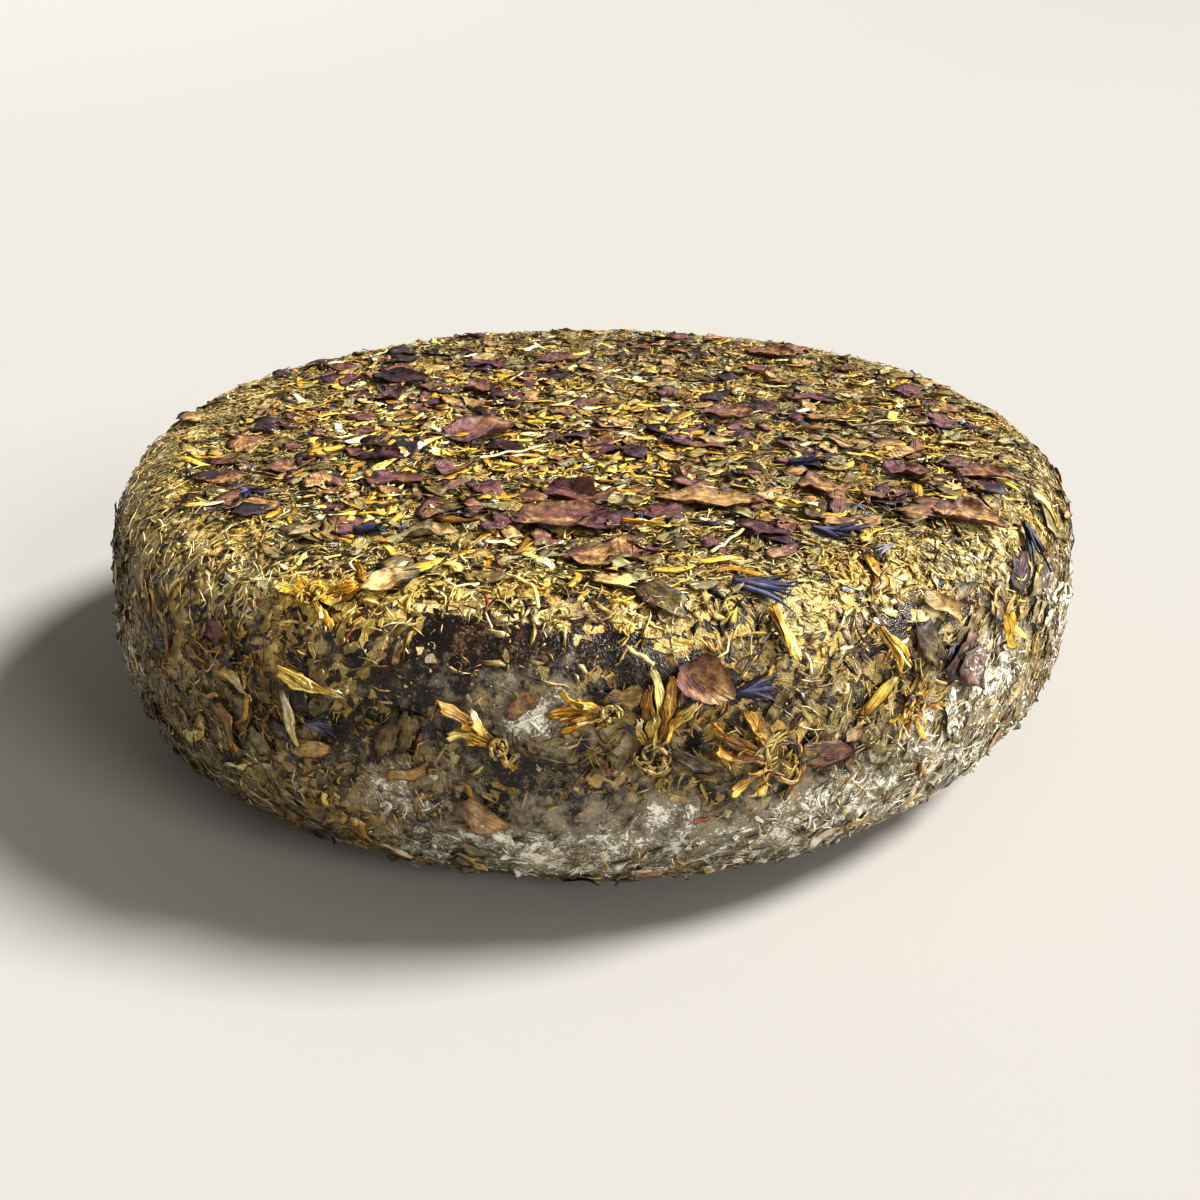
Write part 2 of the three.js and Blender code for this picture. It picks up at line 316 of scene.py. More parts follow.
@dataclass(frozen=True)
class Lie:
    """Where one of the larger pieces lies on the wheel.

    azimuth is in radians and along in millimetres, as in the surface's chart. turn is the way the piece
    points, in radians from outward and down towards anticlockwise. long and wide are in millimetres.
    """

    azimuth: float
    along: float
    turn: float
    long: float
    wide: float


class WheelSurface:
    """The outside of the CAD wheel, charted by azimuth and by length along its section.

    The length runs in millimetres from the middle of the top, over the shoulder, down the wall, round the
    foot and under the wheel to the middle of its underside.
    """

    columns = 192
    rows = 300
    rays = 1500
    pole_gap = 0.0002  # radians left out at each pole, where a ray would meet the facets' corners
    soften = 3  # rows either way over which the CAD wheel's facets are smoothed out

    def __init__(self, wheel: bpy.types.Object) -> None:
        """Casts rays from the wheel's middle onto its CAD node and charts where they land.

        Args:
            wheel: the CAD node's object.
        """
        data = wheel.data
        tree = BVHTree.FromPolygons([v.co[:] for v in data.vertices], [p.vertices[:] for p in data.polygons])
        low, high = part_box(wheel.name)
        self.height = high.z
        centre = Vector((0, 0, (low.z + high.z) / 2))
        self.azimuths = np.linspace(-math.pi, math.pi, self.columns, endpoint=False)
        chart = np.zeros((self.columns, self.rows, 2))
        lengths = []
        for i, azimuth in enumerate(self.azimuths):
            section = []
            for polar in np.linspace(self.pole_gap, math.pi - self.pole_gap, self.rays):
                out = math.sin(polar)
                aim = Vector((out * math.cos(azimuth), out * math.sin(azimuth), math.cos(polar)))
                hit = tree.ray_cast(centre, aim)[0]
                section.append((math.hypot(hit.x, hit.y), hit.z))
            section = np.array(section)
            run = np.concatenate([[0], np.cumsum(np.hypot(*np.diff(section, axis=0).T))])
            lengths.append(run[-1])
            even = np.linspace(0, run[-1], self.rows)
            chart[i] = np.stack([np.interp(even, run, section[:, k]) for k in (0, 1)], axis=1)
        self.length = float(np.mean(lengths)) / MM
        self.chart = self._softened(chart)
        self.normals = self._section_normals(self.chart)

    def _softened(self, chart: np.ndarray) -> np.ndarray:
        """Smooths the chart along the section and round the wheel, so that no facet shows.

        Args:
            chart: each place's distance from the axis and its height.

        Returns:
            The smoothed chart.
        """
        span = self.soften
        padded = np.pad(chart, ((span, span), (0, 0), (0, 0)), mode="wrap")
        chart = sum(padded[k : k + self.columns] for k in range(2 * span + 1)) / (2 * span + 1)
        padded = np.pad(chart, ((0, 0), (span, span), (0, 0)), mode="reflect", reflect_type="odd")
        chart = sum(padded[:, k : k + self.rows] for k in range(2 * span + 1)) / (2 * span + 1)
        chart[:, (0, -1), 0] = 0.0
        return chart

    def _section_normals(self, chart: np.ndarray) -> np.ndarray:
        """Works out the outward normal in the section's own plane at each place.

        Args:
            chart: each place's distance from the axis and its height.

        Returns:
            Unit vectors, as how far out and how far up.
        """
        along = np.gradient(chart, axis=1)
        normal = np.stack([-along[..., 1], along[..., 0]], axis=-1)
        normal[:, 0] = (0, 1)
        normal[:, -1] = (0, -1)
        return normal / np.linalg.norm(normal, axis=-1, keepdims=True)

    def _sample(self, table: np.ndarray, azimuth: np.ndarray, row: np.ndarray) -> np.ndarray:
        """Reads a table of the chart between its columns and rows.

        Args:
            table: two values for each column and row.
            azimuth: in radians from +X.
            row: which row, with its fraction.

        Returns:
            Two values for each place.
        """
        column = (np.asarray(azimuth) + math.pi) / TURN * self.columns
        first = np.floor(column).astype(int)
        share = (column - first)[..., None]
        row = np.clip(row, 0, self.rows - 1.0001)
        top = np.floor(row).astype(int)
        part = (row - top)[..., None]
        left, right = first % self.columns, (first + 1) % self.columns
        upper = table[left, top] * (1 - share) + table[right, top] * share
        lower = table[left, top + 1] * (1 - share) + table[right, top + 1] * share
        return upper * (1 - part) + lower * part

    def at(self, azimuth: np.ndarray, along: np.ndarray) -> tuple[np.ndarray, np.ndarray]:
        """Places on the surface and the outward normals there.

        Args:
            azimuth: in radians from +X.
            along: in millimetres along the section.

        Returns:
            Points in metres and unit normals, one a row.
        """
        row = np.asarray(along) / self.length * (self.rows - 1)
        out, up = np.moveaxis(self._sample(self.chart, azimuth, row), -1, 0)
        n_out, n_up = np.moveaxis(self._sample(self.normals, azimuth, row), -1, 0)
        cos, sin = np.cos(azimuth), np.sin(azimuth)
        normal = np.stack([n_out * cos, n_out * sin, n_up], axis=-1)
        normal /= np.linalg.norm(normal, axis=-1, keepdims=True)
        return np.stack([out * cos, out * sin, up], axis=-1), normal

    def under(self, points: np.ndarray) -> tuple[np.ndarray, np.ndarray]:
        """Finds the places on the surface that are nearest to some points.

        Args:
            points: positions in metres, one a row.

        Returns:
            The azimuth and the length along the section of each.
        """
        azimuth = np.arctan2(points[:, 1], points[:, 0])
        radius = np.hypot(points[:, 0], points[:, 1])
        rows = np.broadcast_to(np.arange(self.rows, dtype=float), (len(points), self.rows))
        section = self._sample(self.chart, np.broadcast_to(azimuth[:, None], rows.shape), rows)
        gap = (section[..., 0] - radius[:, None]) ** 2 + (section[..., 1] - points[:, 2, None]) ** 2
        best = np.clip(gap.argmin(axis=1), 1, self.rows - 2)
        pick = np.arange(len(points))
        before, here, after = gap[pick, best - 1], gap[pick, best], gap[pick, best + 1]
        bend = np.maximum(before - 2 * here + after, 1e-12)
        row = best + np.clip(0.5 * (before - after) / bend, -1, 1)
        return azimuth, row / (self.rows - 1) * self.length

    def tangents(self, azimuth: float, along: float) -> tuple[np.ndarray, np.ndarray, np.ndarray]:
        """Finds a place on the surface and the ways that lead from it.

        Args:
            azimuth: in radians from +X.
            along: in millimetres along the section.

        Returns:
            The place, the way outward and down, and the way anticlockwise round the wheel.
        """
        point, normal = self.at(np.array([azimuth]), np.array([along]))
        around = np.array([-math.sin(azimuth), math.cos(azimuth), 0.0])
        return point[0], np.cross(around, normal[0]), around

    def drape(self, lie: Lie, flat: np.ndarray) -> np.ndarray:
        """Lays a flat piece on the wheel at its place.

        Args:
            lie: where it lies.
            flat: each vertex's place along and across the piece and its height over the surface, in
                millimetres.

        Returns:
            The vertices' positions in metres.
        """
        origin, down, around = self.tangents(lie.azimuth, lie.along)
        cos, sin = math.cos(lie.turn), math.sin(lie.turn)
        out = flat[:, 0] * cos - flat[:, 1] * sin
        side = flat[:, 0] * sin + flat[:, 1] * cos
        points = origin + (np.outer(out, down) + np.outer(side, around)) * MM
        base, normal = self.at(*self.under(points))
        draped = base + normal * flat[:, 2:] * MM
        draped[:, 2] = np.maximum(draped[:, 2], TABLE_GAP)
        return draped

    def lie_of(self, node: bpy.types.Object) -> Lie:
        """Works out where a CAD node of a petal, leaf or straw lies, from its mesh.

        Args:
            node: the CAD node's object.

        Returns:
            Its lie, pointing towards its narrower end.
        """
        points = np.unique(np.round([v.co[:] for v in node.data.vertices], 6), axis=0)
        azimuth, along = self.under(points.mean(axis=0)[None])
        origin, down, around = self.tangents(azimuth[0], along[0])
        flat = np.stack([(points - origin) @ down, (points - origin) @ around], axis=1) / MM
        middle = flat.mean(axis=0)
        way = np.linalg.eigh((flat - middle).T @ (flat - middle))[1][:, 1]
        x = (flat - middle) @ way
        y = (flat - middle) @ np.array([-way[1], way[0]])
        ahead, behind = x > np.percentile(x, 75), x < np.percentile(x, 25)
        if np.abs(y[ahead]).mean() > np.abs(y[behind]).mean():
            way, x, y = -way, -x, -y
        middle = middle + way * (x.max() + x.min()) / 2
        middle = middle + np.array([-way[1], way[0]]) * (y.max() + y.min()) / 2
        centre = origin + (middle[0] * down + middle[1] * around) * MM
        azimuth, along = self.under(centre[None])
        return Lie(azimuth[0], along[0], math.atan2(way[1], way[0]), np.ptp(x), np.ptp(y))


# ---- Where the crust is thick, thin or mouldy ----


@dataclass(frozen=True)
class Patch:
    """A soft-edged oval place on the rind.

    azimuth is in degrees; along, and the half sizes round the wheel and down its section, in millimetres.
    """

    azimuth: float
    along: float
    around: float
    down: float

    def weight(self, azimuth: np.ndarray, along: np.ndarray, radius: np.ndarray) -> np.ndarray:
        """How far inside the patch each place is, from 1 in its middle to 0.

        Args:
            azimuth: in radians.
            along: in millimetres along the section.
            radius: distance from the axis in millimetres.

        Returns:
            One weight for each place.
        """
        side = apart(azimuth, math.radians(self.azimuth)) * radius / self.around
        out = (along - self.along) / self.down
        return np.exp(-((side**2 + out**2) ** 1.5))


BARE = (
    Patch(-98, 147, 36, 8), Patch(-103, 159, 28, 13), Patch(-84, 156, 13, 8), Patch(-59, 151, 12, 6),
    Patch(-50, 153, 9, 5), Patch(-112, 176, 9, 6), Patch(-88, 190, 40, 11), Patch(-96, 178, 14, 7),
    Patch(100, 38, 8, 7), Patch(150, 176, 16, 9), Patch(60, 168, 20, 8), Patch(20, 190, 22, 10),
)
# Cream patches along the shoulder's edge: partly rind worn down to its paste, partly painted highlight.
RUBBED_AND_HIGHLIT = (
    Patch(-104, 139, 13, 1.8), Patch(-96, 140, 9, 1.7), Patch(-57, 151, 7, 2.2), Patch(-72, 146, 6, 1.6),
    Patch(150, 150, 12, 2.0), Patch(60, 158, 9, 2.4), Patch(15, 146, 8, 1.8),
)
MOULD = (
    Patch(-46, 172, 24, 14), Patch(-58, 180, 18, 10), Patch(-66, 190, 14, 8), Patch(-34, 164, 14, 14),
    Patch(-18, 160, 18, 16), Patch(-66, 206, 50, 18), Patch(-84, 190, 12, 7), Patch(-92, 204, 50, 14),
    Patch(-95, 162, 13, 9), Patch(-108, 186, 14, 8), Patch(-25, 178, 22, 16), Patch(-150, 180, 24, 22),
    Patch(-168, 160, 16, 12), Patch(125, 185, 40, 18), Patch(70, 200, 36, 16), Patch(15, 176, 30, 14),
)
PITS = (
    Patch(100, 38, 6, 5), Patch(-135, 96, 7, 4), Patch(-60, 70, 5, 4), Patch(20, 60, 6, 5),
    Patch(-95, 100, 5, 3),
)
GOLD = (Patch(-140, 62, 60, 40), Patch(-100, 40, 60, 50), Patch(160, 60, 60, 40), Patch(-118, 110, 34, 22))
ROSE = (Patch(-150, 55, 80, 50), Patch(-80, 85, 60, 30), Patch(150, 70, 60, 35), Patch(-35, 100, 45, 35))


class Crust:
    """How thickly each kind of dried piece lies at each place of the wheel, and how mouldy it is there."""

    # Where one part of the wheel gives way to the next, in millimetres along its section.
    shoulder = (118, 142)
    front_edge = (140, 152)
    mould_line = (134, 158)
    wall = (138, 158)
    low_wall = (160, 205)
    foot = (205, 240)
    underside = (236, 250)
    small_kinds = ("crumb", "hay")  # the kinds that creep furthest under the larger pieces

    def __init__(self, azimuth: np.ndarray, along: np.ndarray, points: np.ndarray, lies: list[Lie]) -> None:
        """Works out the weights.

        Args:
            azimuth: each place's azimuth in radians.
            along: its length along the section in millimetres.
            points: its position in metres.
            lies: the larger pieces, which little lies on.
        """
        self.azimuth, self.along = azimuth, along
        self.radius = np.hypot(points[:, 0], points[:, 1]) / MM
        broad, fine = cloud(points, 34, 1), cloud(points, 9, 2)
        top = 1 - smooth(*self.shoulder, along)
        wall = smooth(*self.wall, along)
        low = smooth(*self.low_wall, along)
        foot = smooth(*self.foot, along)
        left = self.near(180, 60) * wall
        right = self.near(-15, 50) * wall
        front = self.near(-88, 28) * smooth(*self.front_edge, along)
        front_low = self.near(-92, 26) * low
        self.bare = np.clip(self.patches(BARE) * np.clip(1.15 + fine, 0, 1), 0, 1)
        mould = self.patches(MOULD) * (0.8 + 0.4 * fine) + low * (0.44 + 0.26 * right)
        mould = mould + 0.22 * wall - 0.22 * front_low + 0.2 * broad * wall
        self.mould = np.clip(mould, 0, 1) * smooth(*self.mould_line, along)
        # Soak tints the colour towards damp rind brown. It is partly the damp of the wall and partly painted
        # shade: darker down the wall, at the front edge and on the left side, and lighter on the right side,
        # where the key light falls.
        soak = 0.06 + 0.7 * wall + 0.2 * left - 0.5 * right + 0.15 * front + 0.2 * broad
        self.soak = np.clip(soak, 0, 1)
        covered = np.clip(1 - 0.96 * self.bare, 0.03, 1)
        thin = (1 - 0.42 * wall) * (1 - 0.4 * front) * (1 - 0.35 * foot)
        self.pulp = np.clip(covered * (1 - 0.3 * front) * (0.95 + 0.25 * broad), 0, 1)
        above = 1 - foot
        hay = 0.75 * top + 0.3 * wall + 0.2 * left + 0.2 * right + 0.3 * low
        gold = 0.24 * top + self.patches(GOLD) * top + 0.17 * wall
        rose = covered * top * (0.3 + self.patches(ROSE)) * (0.8 + 0.5 * fine)
        self.covers = {
            "crumb": covered * thin * (0.9 + 0.25 * broad),
            "hay": covered * hay * (0.8 + 0.5 * fine),
            "leaf": covered * (0.8 * top + 0.45 * wall) * (0.8 + 0.6 * broad) * above,
            "gold": covered * gold * (0.8 + 0.6 * fine) * above,
            "rose": rose + 0.08 * wall * covered**3,
            "blue": covered * (0.5 * top + 0.3 * wall) * (0.7 + 0.8 * broad) * above,
            "calyx": covered * wall * above,
            "thread": covered * (0.6 * top + 0.5 * wall) * (0.8 + 0.6 * fine),
            "chip": (0.5 * top + 0.45 * wall + 0.3 * self.bare) * (0.8 + 0.6 * fine),
            "dust": (0.6 * self.bare + 0.3 * wall) * (0.8 + 0.6 * fine) * above,
            "fluff": self.mould * smooth(0.25, 0.8, self.mould),
        }
        self.held = self.footprints(lies)
        for kind, cover in self.covers.items():
            self.covers[kind] = cover * (1 - (0.85 if kind in self.small_kinds else 0.97) * self.held)

    def relief(self, points: np.ndarray) -> np.ndarray:
        """How far the crust swells and sinks at each place: calm under the larger pieces and underneath.

        Args:
            points: positions in metres, one a row.

        Returns:
            Heights in millimetres.
        """
        swell = 0.75 * cloud(points, 14, 7) + 0.45 * cloud(points, 6, 5)
        pits = -1.6 * self.patches(PITS)
        calm = 1 - 0.85 * smooth(*self.underside, self.along)
        return (swell * (1 - 0.85 * self.held) + pits) * calm

    def footprints(self, lies: list[Lie]) -> np.ndarray:
        """Where the larger pieces lie.

        Args:
            lies: the larger pieces.

        Returns:
            A weight for each place, from 1 under their middles to 0 outside them.
        """
        held = np.zeros(len(self.azimuth))
        for lie in lies:
            side = apart(self.azimuth, lie.azimuth) * self.radius
            out = self.along - lie.along
            cos, sin = math.cos(lie.turn), math.sin(lie.turn)
            x = (out * cos + side * sin) / (lie.long / 2)
            y = (side * cos - out * sin) / (lie.wide / 2)
            held = np.maximum(held, 1 - smooth(0.75, 1.1, np.hypot(x, y)))
        return held

    def near(self, azimuth: float, spread: float) -> np.ndarray:
        """How near each place is to an azimuth, from 1 to 0 over a spread, both in degrees."""
        return np.exp(-((apart(self.azimuth, math.radians(azimuth)) / math.radians(spread)) ** 2))

    def patches(self, places: tuple[Patch, ...]) -> np.ndarray:
        """The strongest weight that any of some patches has at each place."""
        return np.max([p.weight(self.azimuth, self.along, self.radius) for p in places], axis=0)


# ---- Finishes ----


class Nerve(Enum):
    """Which way the fine ribs of a dried piece run."""

    NONE = "none"
    LENGTHWISE = "lengthwise"
    FANNED = "fanned"
    FEATHERED = "feathered"


class Ground:
    """A new material's tree, with the patterns that run over the whole wheel, whatever lies there.

    Mould is white, chalky and without gloss where it has grown in blots, and elsewhere a thin grey bloom.
    """

    hues = ((0.36, "fff4cc"), (0.48, "f8f4ec"), (0.6, "e2ecf6"), (0.68, "e8dcf0"))
    soak_and_shade_brown = "806a4a"  # what damp rind brown turns the colour over it into, as a tint, and with it the painted shade on the wall
    # Violet and plum, bled out of the florets and petals: size in millimetres, least noise, shift and colour.
    bled = ((10.0, 0.62, 0.31, "3d3550"), (12.0, 0.63, 0.73, "5c3238"))
    white = "f0ebda"
    grey = "988c74"
    blots = ((6.0, 1.4), (0.8, 0.9))  # sizes of the white blots in millimetres, with how much each counts

    def __init__(self, name: str) -> None:
        """Starts the material.

        Args:
            name: its name.
        """
        self.material = bpy.data.materials.new(name)
        self.material.use_nodes = True
        self.tree = self.material.node_tree
        self.tree.nodes.clear()
        self.place = add(self.tree, "ShaderNodeTexCoord").outputs["Object"]

    def region(self) -> Node:
        """How light the crust's mixture runs, from -0.5 to 0.5, in regions of about 12 mm."""
        found = add(self.tree, NOISE, self.place, 1 / (12 * MM), 3.0, 0.6)
        return add(self.tree, MAP_RANGE, found, 0.3, 0.7, -0.5, 0.5)

    def hue(self) -> Node:
        """A tint for the crust's colours, golden in some regions of about 17 mm and cool in others."""
        found = add(self.tree, NOISE, self.place, 1 / (17 * MM), 3.0, 0.55)
        return add(self.tree, RAMP, found, stops=self.hues)

    def stained_and_shaded(self, colour: Node, amount: float) -> tuple[Node, Node]:
        """Stains a piece with what it lies in, and paints shade on it: rind brown where it is soaked, which
        is also painted shade, darker down the wall and on its left and lighter on its right, and violet or
        plum in places.

        Args:
            colour: the piece's own colour.
            amount: how readily it stains and takes the painted shade, from 0 to 1.

        Returns:
            The stained and shaded colour, and how wet and shaded it is, from 0 to 1.
        """
        soak = add(self.tree, ATTRIBUTE, attribute_name="soak").outputs["Fac"]
        clouds = add(self.tree, NOISE, self.place, 1 / (3.6 * MM), 5.0, 0.7)
        level = add(self.tree, TIMES_PLUS, soak, 0.95, -1.45)
        level = add(self.tree, TIMES_PLUS, clouds, 2.6, level)
        wet_and_shaded = add(self.tree, MAP_RANGE, level, 0.0, 1.0, 0.0, amount)
        colour = add(self.tree, TINTED, wet_and_shaded, colour, linear(self.soak_and_shade_brown))
        for size, least, shift, code in self.bled:
            shifted = add(self.tree, VECTORS_PLUS, self.place, (shift,) * 3)
            found = add(self.tree, NOISE, shifted, 1 / (size * MM), 4.0, 0.6)
            share = add(self.tree, MAP_RANGE, found, least, least + 0.08, 0.0, 0.62 * amount)
            colour = add(self.tree, MIXED, share, colour, linear(code))
        return colour, wet_and_shaded

    def bloomed(self, colour: Node, hold: float) -> Node:
        """Dulls a colour with a thin grey bloom of mould, in clouds of about 6 mm.

        Args:
            colour: the colour under it.
            hold: how much of the colour it can hide, from 0 to 1.

        Returns:
            The dulled colour.
        """
        amount = add(self.tree, ATTRIBUTE, attribute_name="mould").outputs["Fac"]
        clouds = add(self.tree, NOISE, self.place, 1 / (6 * MM), 6.0, 0.75)
        level = add(self.tree, TIMES_PLUS, amount, 1.3, -2.8)
        level = add(self.tree, TIMES_PLUS, clouds, 5.0, level)
        haze = add(self.tree, MAP_RANGE, level, 0.0, 0.9, 0.0, hold)
        return add(self.tree, MIXED, haze, colour, linear(self.grey))

    def mouldy(self, colour: Node, hold: float, own: Node) -> tuple[Node, Node]:
        """Lays white mould on a colour, in blots that are broken up by a fine grain.

        Args:
            colour: the colour under it.
            hold: how readily it takes on this skin, from 0 to 1.
            own: the luck of each piece or grain, from 0 to 1.

        Returns:
            The colour, and where the mould is, from 0 to 1.
        """
        amount = add(self.tree, ATTRIBUTE, attribute_name="mould").outputs["Fac"]
        level = add(self.tree, TIMES_PLUS, amount, 0.95, -2.32)
        for size, share in self.blots:
            blots = add(self.tree, NOISE, self.place, 1 / (size * MM), 4.0, 0.65)
            level = add(self.tree, TIMES_PLUS, blots, share, level)
        level = add(self.tree, TIMES_PLUS, own, 0.5, level)
        mask = add(self.tree, MAP_RANGE, level, -0.02, 0.14, 0.0, hold)
        return add(self.tree, MIXED, mask, colour, linear(self.white)), mask


@dataclass(frozen=True)
class Finish:
    """What something on the wheel is made of, and how its surface came about."""

    name: str

    @cache
    def make(self) -> Material:
        """Builds the material, once for each finish.

        Returns:
            The material, which reads Object coordinates and the attributes that its piece stores.
        """
        ground = Ground(self.name)
        add(ground.tree, "ShaderNodeOutputMaterial", self.skin(ground))
        return ground.material

    def skin(self, ground: Ground) -> Node:
        """Adds the finish's own nodes and returns the shader, and each finish has its own way to."""
        raise NotImplementedError


@dataclass(frozen=True)
class PlantFinish(Finish):
    """A dried plant's skin: its run of colours, its fibres and ribs, its browned rim, its stains and mould.

    It reads the attributes tint and mould, the one for soak and painted shade, and the flat map. palette
    holds its colours, which the tint runs over from piece to piece. mottle is the size of its blotches in
    millimetres, contrast how strong they are and blend how far they shift its colour. streak is how strong
    its fibres are, ribs how many ribs cross it and rib_shade how much darker they are. run is how far its
    colour shifts from its base to its tip, and drift how far from region to region of the wheel. rim is the
    colour of its rim and rim_width how wide that is, as a share. mould_hold is how readily it takes mould and
    the stain setting how readily it takes stains and painted shade, relief the depth of its bumps in
    millimetres and glow how much light it lets through.
    """

    palette: Stops
    roughness: float = 0.6
    nerve: Nerve = Nerve.NONE
    ribs: float = 6.0
    rib_shade: float = 0.3
    mottle: float = 2.2
    contrast: float = 0.45
    rim: str = "2a1c10"
    rim_width: float = 0.0
    mould_hold: float = 0.6
    relief: float = 0.15
    glow: float = 0.0
    streak: float = 0.35
    run: float = 0.0
    drift: float = 0.0
    blend: float = 0.0
    # how readily it takes stains and the painted shade of the wall
    stain_and_shade: float = 0.8
    bloom = 0.3  # how much of its colour a bloom of mould can hide
    damp_gloss = 0.16  # how much smoother it is where it is wet
    mould_roughness = 0.9

    def skin(self, ground: Ground) -> Node:
        """Adds the plant's nodes.

        Args:
            ground: the material's tree.

        Returns:
            The shader.
        """
        tree, place = ground.tree, ground.place
        tint = add(tree, ATTRIBUTE, attribute_name="tint").outputs["Fac"]
        flat = add(tree, "ShaderNodeUVMap", uv_map=FLAT_MAP)
        along, across, _ = add(tree, SPLIT, flat).outputs
        streak = self._fibres(tree, along, across, tint)
        shift = add(tree, TIMES_PLUS, along, self.run, -0.5 * self.run)
        shift = add(tree, TIMES_PLUS, streak, 0.5 * self.streak, shift)
        shift = add(tree, TIMES_PLUS, ground.region(), self.drift, shift)
        blotch = add(tree, NOISE, place, 1 / (self.mottle * MM), 4.0, 0.65)
        shift = add(tree, MINUS, shift, self.blend)
        shift = add(tree, TIMES_PLUS, blotch, 2 * self.blend, shift)
        shift = add(tree, MINUS, shift, 0.25 * self.streak)
        level = add(tree, PLUS, tint, shift)
        colour = add(tree, RAMP, level, stops=self.palette)
        shade = add(tree, MAP_RANGE, blotch, 0.3, 0.7, 1 - self.contrast, 1 + self.contrast)
        lit = add(tree, TIMES_PLUS, streak, 2 * self.streak, 1 - self.streak)
        shade = add(tree, TIMES, shade, lit)
        height = add(tree, TIMES_PLUS, streak, 0.8, blotch)
        if self.nerve is not Nerve.NONE:
            rib = self._ribs(tree, flat, along, across)
            dark = add(tree, TIMES_PLUS, rib, -self.rib_shade, 1.0)
            shade = add(tree, TIMES, shade, dark)
            height = add(tree, TIMES_PLUS, rib, -0.6, height)
        colour = add(tree, SCALED, colour, shade)
        if self.drift:
            colour = add(tree, VECTORS_TIMES, colour, ground.hue())
        if self.rim_width:
            rim = self._rim(tree, flat, along, across)
            colour = add(tree, MIXED, rim, colour, linear(self.rim))
        # Stains it, and paints shade on it where it lies down the wall or on the wall's left.
        colour, wet_and_shaded = ground.stained_and_shaded(colour, self.stain_and_shade)
        if self.mould_hold:
            colour = ground.bloomed(colour, self.bloom)
        own = add(tree, FRACTION, add(tree, TIMES, tint, 37.0))
        colour, mask = ground.mouldy(colour, self.mould_hold, own)
        dry = add(tree, TIMES_PLUS, wet_and_shaded, -self.damp_gloss, self.roughness)
        rough = add(tree, TIMES_PLUS, mask, self.mould_roughness - self.roughness, dry)
        bump = {"Strength": 0.6, "Distance": self.relief * MM, "Height": height}
        sockets = {
            "Base Color": colour,
            "Roughness": rough,
            "Normal": add(tree, "ShaderNodeBump", bump),
            "IOR": 1.45,
            "Subsurface Weight": self.glow,
            "Subsurface Scale": 0.6 * MM,
        }
        return add(tree, "ShaderNodeBsdfPrincipled", sockets)

    def _fibres(self, tree: Tree, along: Socket, across: Socket, tint: Socket) -> Node:
        """Fibres along the piece, different on every piece.

        Args:
            tree: the material's tree.
            along: the place along the piece.
            across: the place across it.
            tint: the piece's tint, which its fibres are drawn by.

        Returns:
            The node that holds them, from 0 to 1.
        """
        long = add(tree, TIMES, along, 1.6)
        wide = add(tree, TIMES, across, 7.0)
        own = add(tree, TIMES, tint, 91.0)
        found = add(tree, NOISE, add(tree, JOIN, long, wide, own), 1.0, 2.0)
        return add(tree, MAP_RANGE, found, 0.28, 0.72, 0.0, 1.0)

    def _ribs(self, tree: Tree, flat: Node, along: Socket, across: Socket) -> Node:
        """Narrow dark lines between the ribs.

        Args:
            tree: the material's tree.
            flat: the flat map.
            along: the place along the piece.
            across: the place across it.

        Returns:
            The node that holds them, from 0 to 1.
        """
        phase = add(tree, MINUS, across, 0.5)
        if self.nerve is Nerve.FANNED:
            reach = add(tree, PLUS, along, 0.12)
            phase = add(tree, ANGLE, phase, reach)
        elif self.nerve is Nerve.FEATHERED:
            side = add(tree, TIMES, add(tree, ABSOLUTE, phase), 0.9)
            phase = add(tree, MINUS, along, side)
        bent = add(tree, NOISE, flat, 4.0, 3.0)
        phase = add(tree, TIMES_PLUS, bent, 0.12, phase)
        wave = add(tree, SINE, add(tree, TIMES, phase, TURN * self.ribs))
        wave = add(tree, TIMES_PLUS, wave, 0.5, 0.5)
        return add(tree, POWER, wave, 2.5)

    def _rim(self, tree: Tree, flat: Node, along: Socket, across: Socket) -> Node:
        """How close a place is to the piece's dried-out rim.

        Args:
            tree: the material's tree.
            flat: the flat map.
            along: the place along the piece.
            across: the place across it.

        Returns:
            The node that holds it, from 0 to 1.
        """
        off = [add(tree, MINUS, side, 0.5) for side in (along, across)]
        off = [add(tree, ABSOLUTE, side) for side in off]
        near = add(tree, MINUS, add(tree, LARGER, *off), 0.08)
        near = add(tree, TIMES_PLUS, add(tree, NOISE, flat, 7.0, 3.0), 0.16, near)
        return add(tree, MAP_RANGE, near, 0.5 - self.rim_width, 0.52, 0.0, 0.85)


HERB_COLOURS = (
    (0.0, "0d0804"), (0.14, "38240f"), (0.26, "7a5f30"), (0.38, "ad9352"), (0.5, "c5a95f"),
    (0.6, "99945f"), (0.68, "ccab5a"), (0.8, "ceb26a"), (0.92, "d8bf80"), (1.0, "eddba6"),
)


